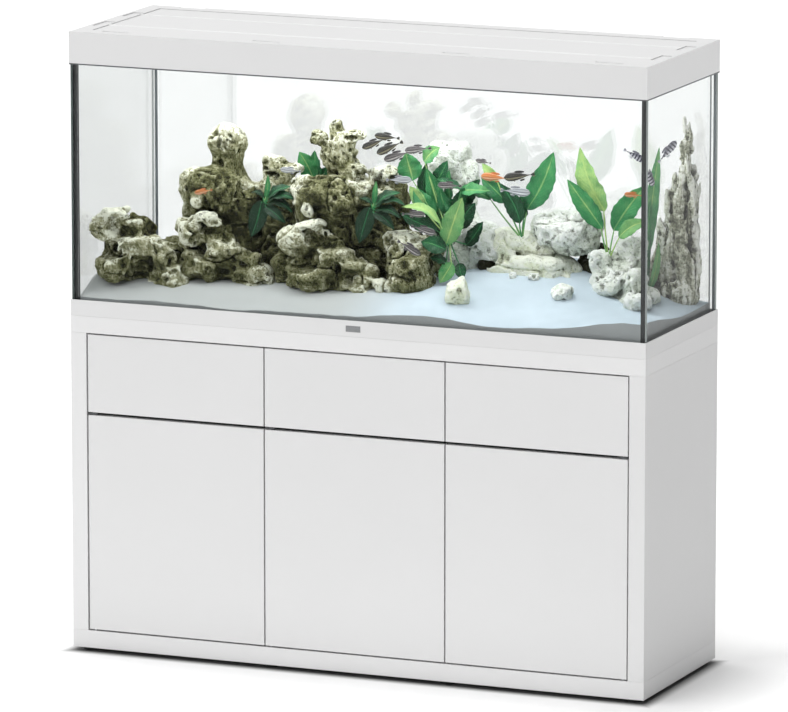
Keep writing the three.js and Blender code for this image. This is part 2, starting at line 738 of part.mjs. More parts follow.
function addPlant({ name, foot, crown, leaves }) {
  const ball = new THREE.IcosahedronGeometry(crown, 1).translate(...foot);
  const blades = leaves.map(([tip, width]) => leaf(foot, tip, width));
  const clearStones = [leftStones, rightStones].map((stones) => stonePile(stones, LEAF_TO_STONE));
  const trimmed = cut(join([solidOf(ball), ...blades]), clearStones);
  const bodies = trimmed.decompose().sort((a, b) => b.volume() - a.volume());
  addSolid(name, bodies[0], materials.leaf);
}

addCarcass();
addDivider("divider_left", -DIVIDER_X);
addDivider("divider_right", DIVIDER_X);
addMiddleRail();
addBackPanel();
addFeet();
compartments.forEach(addDrawer);
compartments.forEach(addRunners);
compartments.forEach(addDoor);
addBaseFrame();
addGlass();
addSilicone();
flaps.forEach(addFlap);
addLidFrame();
addLightBar("light_bar_front", -LED.y);
addLightBar("light_bar_rear", LED.y);
addSolid("sand_bed", sandBlock(0), materials.sand);
addStones("rock_pile_left", leftStones, materials.darkStone);
addStones("rock_pile_right", rightStones, materials.paleStone);
addStones("spire_rock", spireStones, materials.spireStone);
plants.forEach(addPlant);

export default aquarium;
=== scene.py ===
"""Looks for an aquarium on its stand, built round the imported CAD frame. Metres, +Z up, front towards -Y."""

import json
import math

import bpy
import numpy as np
from mathutils import Matrix, Vector


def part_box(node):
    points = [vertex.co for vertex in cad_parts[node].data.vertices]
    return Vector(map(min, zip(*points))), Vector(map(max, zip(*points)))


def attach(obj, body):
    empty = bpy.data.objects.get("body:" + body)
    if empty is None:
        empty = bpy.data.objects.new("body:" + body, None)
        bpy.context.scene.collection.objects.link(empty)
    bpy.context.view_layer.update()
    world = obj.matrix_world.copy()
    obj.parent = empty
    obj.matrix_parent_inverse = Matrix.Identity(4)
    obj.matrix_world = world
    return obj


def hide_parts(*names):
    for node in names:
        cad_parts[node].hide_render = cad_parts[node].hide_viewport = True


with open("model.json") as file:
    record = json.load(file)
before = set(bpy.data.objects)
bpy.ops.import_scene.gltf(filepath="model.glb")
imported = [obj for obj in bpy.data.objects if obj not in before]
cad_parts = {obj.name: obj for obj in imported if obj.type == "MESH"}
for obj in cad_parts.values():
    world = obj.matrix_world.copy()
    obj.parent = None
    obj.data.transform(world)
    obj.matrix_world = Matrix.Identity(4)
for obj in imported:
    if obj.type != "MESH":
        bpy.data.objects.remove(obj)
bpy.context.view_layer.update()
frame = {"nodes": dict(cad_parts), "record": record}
MM = 0.001

# ---- The frame's own sizes ----

LID_LOW, LID_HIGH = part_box("lid_frame")
FRONT_PANE_LOW, FRONT_PANE_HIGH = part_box("glass_front")
RIGHT_PANE_LOW, RIGHT_PANE_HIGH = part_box("glass_right")
INSIDE_X = RIGHT_PANE_LOW.x
INSIDE_Y = -FRONT_PANE_HIGH.y
TANK_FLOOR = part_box("glass_bottom")[1].z
# The radius of the barrels that the flaps of the lid turn on.
FLAP_BARREL = 0.005


# ---- Node materials ----


class Tree:
    """A node tree under construction."""

    def __init__(self, tree):
        self.tree = tree

    def feed(self, socket, value):
        """Links value to the socket if it is another node's output, and sets it there if it is plain."""
        if isinstance(value, bpy.types.NodeSocket):
            self.tree.links.new(value, socket)
        else:
            socket.default_value = value

    def node(self, kind, output, inputs=(), **settings):
        """Adds a node with those settings, feeds its inputs and gives one of its outputs."""
        node = self.tree.nodes.new(kind)
        for key, value in settings.items():
            setattr(node, key, value)
        for key, value in dict(inputs).items():
            self.feed(node.inputs[key], value)
        return node.outputs[output]

    def math(self, operation, first, second=0.0):
        return self.node("ShaderNodeMath", 0, {0: first, 1: second}, operation=operation)


class Nodes(Tree):
    """A material under construction: one Principled shader fed by procedural nodes in object space."""

    def __init__(self, name):
        self.material = bpy.data.materials.new(name)
        self.material.use_nodes = True
        super().__init__(self.material.node_tree)
        self.shader = self.tree.nodes["Principled BSDF"]
        self.output = self.tree.nodes["Material Output"]
        self.place = self.node("ShaderNodeTexCoord", "Object")

    def noise(self, scale, detail=3.0, roughness=0.5, place=None, distortion=0.0):
        inputs = {"Scale": scale, "Detail": detail, "Roughness": roughness, "Distortion": distortion}
        return self.node("ShaderNodeTexNoise", "Fac", {"Vector": place or self.place, **inputs})

    def cells(self, scale):
        return self.node("ShaderNodeTexVoronoi", "Distance", {"Vector": self.place, "Scale": scale})

    def stretched(self, x, y, z):
        return self.node("ShaderNodeMapping", "Vector", {"Vector": self.place, "Scale": (x, y, z)})

    def ramp(self, value, low, high, start=0.0, end=1.0):
        """Maps low..high on the value smoothly to start..end, held at both ends."""
        inputs = {"Value": value, "From Min": low, "From Max": high, "To Min": start, "To Max": end}
        return self.node("ShaderNodeMapRange", "Result", inputs, interpolation_type="SMOOTHSTEP")

    def mix(self, share, first, second):
        inputs = {"Factor": share, "A": rgba(first), "B": rgba(second)}
        return self.node("ShaderNodeMix", "Result", inputs, data_type="RGBA")

    def stops(self, value, colours):
        """A smooth run of colours along the value, given as (place, colour) pairs."""
        node = self.tree.nodes.new("ShaderNodeValToRGB")
        self.feed(node.inputs["Fac"], value)
        elements = node.color_ramp.elements
        while len(elements) < len(colours):
            elements.new(0.5)
        for element, (place, colour) in zip(elements, colours):
            element.position = place
            element.color = rgba(colour)
        return node.outputs["Color"]

    def weighted(self, start, *terms):
        """start plus each (value, middle, weight): how far the value is off its middle, times the weight."""
        total = start
        for value, middle, weight in terms:
            off = self.math("SUBTRACT", value, middle)
            total = self.math("ADD", total, self.math("MULTIPLY", off, weight))
        return total

    def off_centre(self, value, centre=0.5):
        return self.math("ABSOLUTE", self.math("SUBTRACT", value, centre))

    def repeats(self, value, count):
        """A zigzag that runs from 0.5 to 0 and back, count times along the value."""
        return self.off_centre(self.math("FRACT", self.math("MULTIPLY", value, count)))

    def axis(self, vector, name):
        return self.node("ShaderNodeSeparateXYZ", name, {0: vector})

    def attribute(self, name):
        return self.node("ShaderNodeAttribute", "Fac", attribute_name=name)

    def normal(self, axis):
        """How far the surface faces along that axis, from -1 to 1."""
        return self.axis(self.node("ShaderNodeNewGeometry", "Normal"), axis)

    def bump(self, height, distance, strength=1.0):
        inputs = {"Height": height, "Distance": distance, "Strength": strength}
        self.feed(self.shader.inputs["Normal"], self.node("ShaderNodeBump", "Normal", inputs))

    def finished(self, colour, roughness, **others):
        """The material, with its shader's inputs set; an underscore in a name stands for a space."""
        for key, value in {"Base Color": colour, "Roughness": roughness, **others}.items():
            self.feed(self.shader.inputs[key.replace("_", " ")], value)
        return self.material


def rgba(value):
    """A plain colour with its alpha; a socket is passed on as it is."""
    if isinstance(value, bpy.types.NodeSocket) or len(value) == 4:
        return value
    return (*value, 1.0)


def shade_of(colour, by):
    return tuple(channel * by for channel in colour)


def white_coating(name, level, roughness, grain=900.0, depth=0.00002, sides=1.0, painted_highlight_y=None):
    """A smooth white surface: a slow drift in shade, a fine orange peel and a slightly uneven gloss.

    sides paints the faces at the left and right ends that much brighter, as painted light; the stripe is a
    painted highlight at the y given.
    """
    m = Nodes(name)
    colour = (level, level, level)
    slow = m.ramp(m.noise(2.2, 2.0), 0.35, 0.65)
    body = m.mix(slow, shade_of(colour, 0.985), colour)
    # Painted light: the end faces are painted brighter than the rest.
    if sides != 1.0:
        end = m.ramp(m.math("ABSOLUTE", m.normal("X")), 0.3, 0.9)
        body = m.mix(end, body, shade_of(colour, sides))
    # Painted highlight: a stripe painted brighter along the hinge barrel.
    if painted_highlight_y is not None:
        away = m.off_centre(m.axis(m.place, "Y"), painted_highlight_y)
        body = m.mix(m.ramp(away, 0.009, 0.005), body, shade_of(colour, 1.12))
    m.bump(m.noise(grain, 2.0), depth, 0.3)
    gloss = m.ramp(m.noise(40.0, 3.0), 0.2, 0.8, roughness - 0.01, roughness + 0.02)
    return m.finished(body, gloss, Specular_IOR_Level=0.3)


def lid_plastic(name, painted_highlight_y=None):
    # The lid's end faces get painted light, 1.2 times brighter.
    return white_coating(name, 0.74, 0.38, 1200.0, 0.00003, 1.2, painted_highlight_y)


def grained(name, pattern, tones, gloss, relief, spread=(0.3, 0.7), **settings):
    """A material whose colour, gloss and relief follow one pattern, which pattern(m) adds.

    gloss is the roughness at the pattern's two ends, relief the distance and strength of its bump, and
    spread the part of the pattern in which the first tone runs into the second.
    """
    m = Nodes(name)
    grain = pattern(m)
    m.bump(grain, *relief)
    colour = m.mix(m.ramp(grain, *spread), *tones)
    return m.finished(colour, m.ramp(grain, 0.3, 0.7, *gloss), **settings)


def brushed(scale, detail, roughness, stretch):
    return lambda m: m.noise(scale, detail, roughness, m.stretched(*stretch))


def melamine(name, colour):
    fibres = brushed(160.0, 4.0, 0.6, (1.0, 1.0, 0.12))
    return grained(name, fibres, (shade_of(colour, 0.95), colour), (0.5, 0.62), (0.00006, 0.6), (0.35, 0.7))


# A dark grey board, put where the gap between the doors and the drawers shows shade, so that the gap reads
# dark: painted shade.
def gap_shade_board(name):
    tones = ((0.05, 0.052, 0.055), (0.085, 0.088, 0.092))
    fibres = brushed(220.0, 3.0, 0.6, (0.1, 1.0, 1.0))
    return grained(name, fibres, tones, (0.5, 0.65), (0.00005, 0.5))


def zinc_steel(name):
    m = Nodes(name)
    spangle = m.mix(m.ramp(m.cells(260.0), 0.1, 0.6), (0.46, 0.47, 0.48), (0.62, 0.63, 0.65))
    m.bump(m.noise(600.0), 0.00002, 0.4)
    return m.finished(spangle, m.ramp(m.noise(300.0), 0.3, 0.7, 0.28, 0.42), Metallic=1.0)


def anodised(name, colour):
    lines = brushed(900.0, 2.0, 0.5, (0.02, 1.0, 1.0))
    tones = (shade_of(colour, 0.9), colour)
    return grained(name, lines, tones, (0.3, 0.42), (0.00002, 0.4), Metallic=1.0)


def badge_metal(name):
    lines = brushed(2500.0, 2.0, 0.5, (0.03, 1.0, 1.0))
    tones = ((0.2, 0.205, 0.21), (0.3, 0.305, 0.31))
    return grained(name, lines, tones, (0.3, 0.45), (0.00002, 0.4), Metallic=0.7)


def black_rubber(name):
    tones = ((0.012, 0.012, 0.013), (0.03, 0.03, 0.031))
    return grained(name, lambda m: m.noise(700.0, 3.0), tones, (0.6, 0.8), (0.0001, 0.5))


def sealant(name, front, rear):
    """Dark silicone with slow tooling waves; its rear is painted lighter and bluer than its front, painted
    light where it shows lit through the tank.
    """
    m = Nodes(name)
    waves = m.noise(60.0, 2.0, 0.5, m.stretched(1.0, 1.0, 0.15))
    wavy = m.ramp(waves, 0.3, 0.7)
    near = m.mix(wavy, shade_of((0.9, 0.95, 1.0), front), shade_of((1.1, 1.15, 1.2), front))
    far = m.mix(wavy, shade_of((0.75, 0.85, 0.9), rear), shade_of((1.0, 1.15, 1.25), rear))
    # Painted light: the sealant is painted lighter and bluer towards the rear.
    colour = m.mix(m.ramp(m.axis(m.place, "Y"), 0.0, 0.15), near, far)
    m.bump(waves, 0.0003, 0.3)
    return m.finished(colour, m.ramp(waves, 0.3, 0.7, 0.3, 0.45))


CLEAR_GLASS = (0.985, 0.992, 0.99)


def float_glass(name, face_on=0.003, slanted=0.3, end_axis=None, inward=None, clarity=1.0):
    """A pane: what is behind shows unbent, with a mirror of face_on that grows by slanted at a slant.

    With inward, a direction into the tank, clarity and face_on only count for what is seen from inside it:
    such a pane is bare glass from outside, and a faint mirror behind what stands in the tank.
    """
    m = Nodes(name)
    smudge = m.ramp(m.noise(5.0, 3.0), 0.3, 0.7)
    tint = m.mix(smudge, CLEAR_GLASS, (0.99, 0.997, 0.995))
    slant = m.node("ShaderNodeLayerWeight", "Facing")
    steep = m.math("MULTIPLY", m.math("POWER", slant, 5.0), slanted)
    strength = m.math("ADD", steep, face_on)
    if inward:
        axis, sign = inward
        within = m.math("GREATER_THAN", m.math("MULTIPLY", m.normal(axis), sign), 0.5)
        tint = m.mix(within, tint, shade_of(CLEAR_GLASS, clarity))
        strength = m.math("ADD", steep, m.math("MULTIPLY", within, face_on))
    clear = m.node("ShaderNodeBsdfTransparent", 0, {"Color": tint})
    mirror = m.node("ShaderNodeBsdfGlossy", 0, {"Roughness": 0.0})
    surface = m.node("ShaderNodeMixShader", 0, {0: strength, 1: clear, 2: mirror})
    m.tree.nodes.remove(m.shader)
    if end_axis:
        surface = with_ground_ends(m, surface, end_axis)
    m.feed(m.output.inputs["Surface"], surface)
    return m.material


def with_ground_ends(m, surface, end_axis):
    """The surface, with grey-green ground glass where it faces along end_axis."""
    grind = m.mix(m.noise(400.0, 2.0), (0.16, 0.2, 0.19), (0.24, 0.29, 0.28))
    end = m.node("ShaderNodeBsdfPrincipled", 0, {"Base Color": grind, "Roughness": 0.25})
    at_end = m.math("GREATER_THAN", m.math("ABSOLUTE", m.normal(end_axis)), 0.5)
    return m.node("ShaderNodeMixShader", 0, {0: at_end, 1: surface, 2: end})


def light_diffuser(name):
    m = Nodes(name)
    frost = m.noise(500.0, 2.0)
    colour = m.mix(frost, (0.85, 0.87, 0.88), (0.92, 0.93, 0.94))
    glow = (0.95, 0.98, 1.0, 1.0)
    return m.finished(colour, m.ramp(frost, 0.3, 0.7, 0.35, 0.5), Emission_Color=glow, Emission_Strength=1.5)


def fine_sand(name):
    """Pale sand: grains in colour and bump; its steep faces at the panes are painted grey as shade, and its
    left is painted greyer as shade under the rocks.
    """
    m = Nodes(name)
    grains = m.cells(900.0)
    blotches = m.noise(9.0, 4.0, 0.6)
    light = m.mix(m.ramp(grains, 0.1, 0.6), (0.55, 0.64, 0.71), (0.47, 0.555, 0.62))
    lit = m.mix(m.ramp(blotches, 0.4, 0.7), light, (0.53, 0.62, 0.69))
    # Painted shade: the top is painted greyer towards the left, where the rocks shade it.
    lit = m.mix(m.ramp(m.axis(m.place, "X"), -0.1, 0.16, 0.9, 0.0), lit, (0.43, 0.445, 0.435))
    # Painted shade for the steep faces, where the sand meets the panes.
    painted_side_shade = m.mix(m.ramp(grains, 0.1, 0.6), (0.4, 0.42, 0.425), (0.31, 0.325, 0.33))
    m.bump(m.math("ADD", m.math("MULTIPLY", grains, 0.6), m.noise(350.0, 3.0)), 0.0012, 0.5)
    colour = m.mix(m.ramp(m.normal("Z"), 0.15, 0.5), painted_side_shade, lit)
    return m.finished(colour, 0.95, Specular_IOR_Level=0.2)


def pitted_stone(
    name, colours, lift, streak=(1.0, 1.0, 0.14), streak_weight=0.5, speck_weight=1.2, patch_grain=24.0
):
    """Stone whose colour runs from dark to crust by its own tone and several sizes of noise, with shade
    painted into its crevices and pits and light painted onto its rims.
    """
    m = Nodes(name)
    patches = m.noise(patch_grain, 6.0, 0.62, distortion=0.9)
    specks = m.noise(150.0, 5.0, 0.75)
    pores = m.ramp(m.cells(140.0), 0.12, 0.4)
    streaks = m.noise(38.0, 4.0, 0.6, m.stretched(*streak))
    shade = m.weighted(
        lift,
        (m.attribute("tone"), 0.5, 0.75),
        (patches, 0.5, 1.1),
        (specks, 0.5, speck_weight),
        (pores, 0.8, 0.22),
        (streaks, 0.5, streak_weight),
        # Faces that point up are lighter: partly the pale crust on tops, partly painted light from above.
        (m.normal("Z"), 0.0, 0.16),
        # Painted light and shade: sharp rims painted lighter, small hollows painted darker.
        (m.attribute("edge"), 0.5, -1.1),
    )
    # Painted shade at the bottom of narrow pits.
    pit = m.math("MULTIPLY", m.attribute("pit_shade"), 0.8)
    ground = m.mix(pit, m.stops(shade, colours), shade_of(colours[0][1], 0.6))
    # Painted shade: crevices are painted dark where much stone surrounds them.
    painted_crevice_shade = m.ramp(m.attribute("crevice_shade"), 0.5, 0.84, 0.0, 0.95)
    colour = m.mix(painted_crevice_shade, ground, shade_of(colours[0][1], 0.35))
    m.bump(m.weighted(0.0, (specks, 0.0, 1.0), (pores, 0.0, 0.6)), 0.006)
    return m.finished(colour, m.ramp(specks, 0.3, 0.7, 0.8, 0.97), Specular_IOR_Level=0.15)


LEAF_COLOURS = [
    (0.0, (0.01, 0.034, 0.016)),
    (0.25, (0.022, 0.12, 0.048)),
    (0.5, (0.05, 0.26, 0.09)),
    (0.8, (0.21, 0.42, 0.15)),
    (1.0, (0.4, 0.58, 0.2)),
]


def leaf_skin(name):
    """A leaf: veins that branch from the midrib, by the leaf's own UV map, and its own tint of green."""
    m = Nodes(name)
    uv = m.node("ShaderNodeTexCoord", "UV")
    across = m.off_centre(m.axis(uv, "X"))
    slanted = m.math("SUBTRACT", m.math("MULTIPLY", m.axis(uv, "Y"), 13.0), m.math("MULTIPLY", across, 8.0))
    side_vein = m.ramp(m.repeats(slanted, 1.0), 0.12, 0.0)
    midrib = m.ramp(across, 0.045, 0.015)
    tint = m.weighted(
        m.attribute("tint"),
        (m.noise(38.0, 4.0, 0.6), 0.5, 0.5),
        (m.noise(160.0, 3.0, 0.6), 0.5, 0.25),
        (m.axis(uv, "Y"), 0.4, 0.12),
        (across, 0.25, -0.25),
    )
    veined = m.weighted(tint, (side_vein, 0.0, 0.12), (midrib, 0.0, 0.3))
    m.bump(m.weighted(0.0, (side_vein, 0.0, -0.5), (midrib, 0.0, 1.0)), 0.001, 0.8)
    gloss = m.ramp(m.noise(90.0), 0.3, 0.7, 0.38, 0.55)
    return m.finished(m.stops(veined, LEAF_COLOURS), gloss, Specular_IOR_Level=0.25)


def fish_scales(name, back, belly, bar, bars=0.0):
    """A fish: dark back, pale belly, bars across or along the body by its UV map, and small scales."""
    m = Nodes(name)
    uv = m.node("ShaderNodeTexCoord", "UV")
    height = m.axis(uv, "Y")
    body = m.mix(m.ramp(height, 0.35, 0.7), belly, back)
    wave = m.repeats(m.axis(uv, "X"), bars) if bars else m.repeats(height, 3.0)
    striped = m.mix(m.ramp(wave, 0.28, 0.18), body, bar)
    scales = m.cells(420.0)
    m.bump(scales, 0.0004, 0.5)
    colour = m.mix(m.ramp(scales, 0.2, 0.7, 0.0, 0.25), striped, shade_of(back, 0.7))
    return m.finished(colour, m.ramp(scales, 0.2, 0.7, 0.3, 0.45))


MATERIALS = {
    "cabinet_white": white_coating("cabinet_laminate", 0.785, 0.36),
    "front_white": white_coating("front_lacquer", 0.745, 0.3),
    "frame_white": white_coating("frame_plastic", 0.74, 0.34, 1200.0, 0.00003),
    "lid_white": lid_plastic("lid_plastic"),
    "inner_board": melamine("inner_melamine", (0.74, 0.74, 0.725)),
    "rail_grey": gap_shade_board("rail_gap_shade"),
    "foot_black": black_rubber("foot_rubber"),
    "hinge_steel": zinc_steel("zinc_plated_steel"),
    "badge_grey": badge_metal("badge_plate"),
    "tank_glass": float_glass("float_glass"),
    "black_silicone": sealant("black_sealant", 0.025, 0.15),
    # A dark strip under the lid that stands for the shade line there.
    "shade_strip_sealant": sealant("shade_strip_sealant", 0.1, 0.1),
    "light_aluminium": anodised("light_profile", (0.6, 0.61, 0.62)),
    "sand": fine_sand("pale_sand"),
    "dark_stone": pitted_stone(
        "olive_stone",
        [(0.08, (0.02, 0.021, 0.009)), (0.34, (0.085, 0.088, 0.036)), (0.54, (0.2, 0.205, 0.1)),
         (0.76, (0.44, 0.44, 0.29)), (0.95, (0.84, 0.86, 0.72))],
        0.5, streak_weight=0.35, speck_weight=0.7, patch_grain=15.0,
    ),
    "pale_stone": pitted_stone(
        "limestone",
        [(0.02, (0.1, 0.11, 0.07)), (0.24, (0.4, 0.43, 0.33)), (0.48, (0.66, 0.72, 0.62)),
         (0.75, (0.84, 0.89, 0.79)), (1.0, (0.93, 0.96, 0.92))],
        0.72,
    ),
    "cream_stone": pitted_stone(
        "cream_limestone",
        [(0.02, (0.15, 0.15, 0.07)), (0.22, (0.48, 0.5, 0.28)), (0.46, (0.76, 0.8, 0.58)),
         (0.75, (0.86, 0.91, 0.7)), (1.0, (0.93, 0.96, 0.84))],
        0.74,
    ),
    "spire_stone": pitted_stone(
        "banded_stone",
        [(0.08, (0.045, 0.048, 0.028)), (0.32, (0.16, 0.165, 0.11)), (0.52, (0.33, 0.34, 0.25)),
         (0.72, (0.62, 0.63, 0.5)), (0.9, (0.93, 0.94, 0.86))],
        0.56, (1.0, 1.0, 0.1), 2.0,
    ),
    "leaf_green": leaf_skin("leaf"),
}


# Nodes that look different from the rest of their slot.
OWN_FINISHES = {
    "glass_front": float_glass("front_pane", end_axis="X"),
    "glass_left": float_glass("left_pane", 0.12, 0.9, None, ("X", 1.0), 0.87),
    "glass_back": float_glass("back_pane", 0.15, 0.8, "X", ("Y", -1.0), 0.96),
    "glass_right": float_glass("right_pane", 0.003, 0.3, None, ("X", 1.0), 0.965),
    # The flaps carry a painted highlight stripe along their hinge barrels.
    "front_flap": lid_plastic("front_flap_plastic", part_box("front_flap")[1].y - FLAP_BARREL),
    "rear_flap": lid_plastic("rear_flap_plastic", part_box("rear_flap")[0].y + FLAP_BARREL),
    # The right side panel is painted darker than the rest of the cabinet: painted shade on the side away from
    # the light.
    "right_side_panel": white_coating("side_painted_shade", 0.75, 0.36),
}
EDGE_ROUND = {
    "cabinet_white": 0.002,
    "front_white": 0.002,
    "frame_white": 0.0018,
    "lid_white": 0.0012,
    "inner_board": 0.0008,
    "rail_grey": 0.0008,
    "light_aluminium": 0.0006,
    "foot_black": 0.0015,
}
EDGE_ANGLE = math.radians(40)


def round_edges(piece, width, segments):
    bevel = piece.modifiers.new("edge_round", "BEVEL")
    bevel.width = width
    bevel.segments = segments
    bevel.limit_method = "ANGLE"
    bevel.angle_limit = EDGE_ANGLE


def dress_frame():
    """Every CAD node takes its own or its slot's material, and the hard ones a small round on their edges."""
    slots = {row["node"]: row["material_slot"] for row in frame["record"]["subparts"]}
    for name, node in frame["nodes"].items():
        node.data.materials.clear()
        node.data.materials.append(OWN_FINISHES.get(name) or MATERIALS[slots[name]])
        for polygon in node.data.polygons:
            polygon.use_smooth = False
        if slots[name] in EDGE_ROUND:
            round_edges(node, EDGE_ROUND[slots[name]], 2)


# ---- Mesh helpers ----


def placed(name, data):
    """A new object in the scene."""
    made = bpy.data.objects.new(name, data)
    bpy.context.scene.collection.objects.link(made)
    return made


def new_piece(name, vertices, faces, material, body="root", smooth=True):
    mesh = bpy.data.meshes.new(name)
    mesh.from_pydata([tuple(v) for v in vertices], [], [tuple(f) for f in faces])
    mesh.update()
    mesh.materials.append(material)
    mesh.polygons.foreach_set("use_smooth", [smooth] * len(mesh.polygons))
    piece = placed(name, mesh)
    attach(piece, body)
    return piece


def box_mesh(low, high):
    corners = [(x, y, z) for x in (low[0], high[0]) for y in (low[1], high[1]) for z in (low[2], high[2])]
    faces = [(0, 1, 3, 2), (4, 6, 7, 5), (0, 4, 5, 1), (2, 3, 7, 6), (0, 2, 6, 4), (1, 5, 7, 3)]
    return corners, faces


def add_attribute(piece, name, values):
    layer = piece.data.attributes.new(name, "FLOAT", "POINT")
    layer.data.foreach_set("value", np.asarray(values, np.float32))


def add_uv_map(piece, uvs):
    """A UV map from one (u, v) pair per vertex."""
    corners = [uvs[loop.vertex_index] for loop in piece.data.loops]
    layer = piece.data.uv_layers.new(name="UVMap")
    layer.data.foreach_set("uv", np.array(corners, np.float32).ravel())


def subdivide(piece):
    finer = piece.modifiers.new("smooth", "SUBSURF")
    finer.levels = 1
    finer.render_levels = 1


def grid_faces(rows, columns):
    """Quads between rows + 1 lines of columns + 1 vertices each."""
    index = np.arange((rows + 1) * (columns + 1)).reshape(rows + 1, -1)
    corners = (index[:-1, :-1], index[:-1, 1:], index[1:, 1:], index[1:, :-1])
    return np.stack([corner.ravel() for corner in corners], 1)


def tube_faces(rows, sides):
    """Quads along a tube whose rings of vertices follow each other, and a face on each of its ends."""
    faces = []
    for row in range(rows):
        for k in range(sides):
            a, b = row * sides + k, row * sides + (k + 1) % sides
            faces.append((a, b, b + sides, a + sides))
    faces.append(tuple(range(sides - 1, -1, -1)))
    faces.append(tuple(range(rows * sides, (rows + 1) * sides)))
    return faces


# ---- Stone from a distance field ----

TABLE = 24
# The distance that an empty field starts with.
FAR = 0.2
# How softly broken sides and carved holes meet the stone round them.
BREAK_BLEND = 0.006
PIT_BLEND = 0.002
# Holes with a wider radius than this lift out of the stone, over this much more radius.
SCOOP_RADIUS, SCOOP_SPAN = 0.006, 0.012


def lattice_noise(axes, scale, seed):
    """Smooth noise from -1 to 1 on a grid, from a seeded table of random numbers. scale is its grain."""
    table = np.random.default_rng(seed).uniform(-1, 1, (TABLE,) * 3).astype(np.float32)
    parts = []
    for axis, grain in zip(axes, np.broadcast_to(scale, 3)):
        place = axis / grain
        low = np.floor(place).astype(int)
        t = (place - low).astype(np.float32)
        parts.append((low, t * t * (3 - 2 * t)))
    total = 0
    for corner in np.ndindex(2, 2, 2):
        picks = [(low + step) % TABLE for (low, _), step in zip(parts, corner)]
        x, y, z = [t if step else 1 - t for (_, t), step in zip(parts, corner)]
        total = total + table[np.ix_(*picks)] * x[:, None, None] * y[None, :, None] * z[None, None, :]
    return total


def smooth_min(a, b, blend):
    near = np.maximum(blend - np.abs(a - b), 0) / blend
    return np.minimum(a, b) - near * near * blend / 4


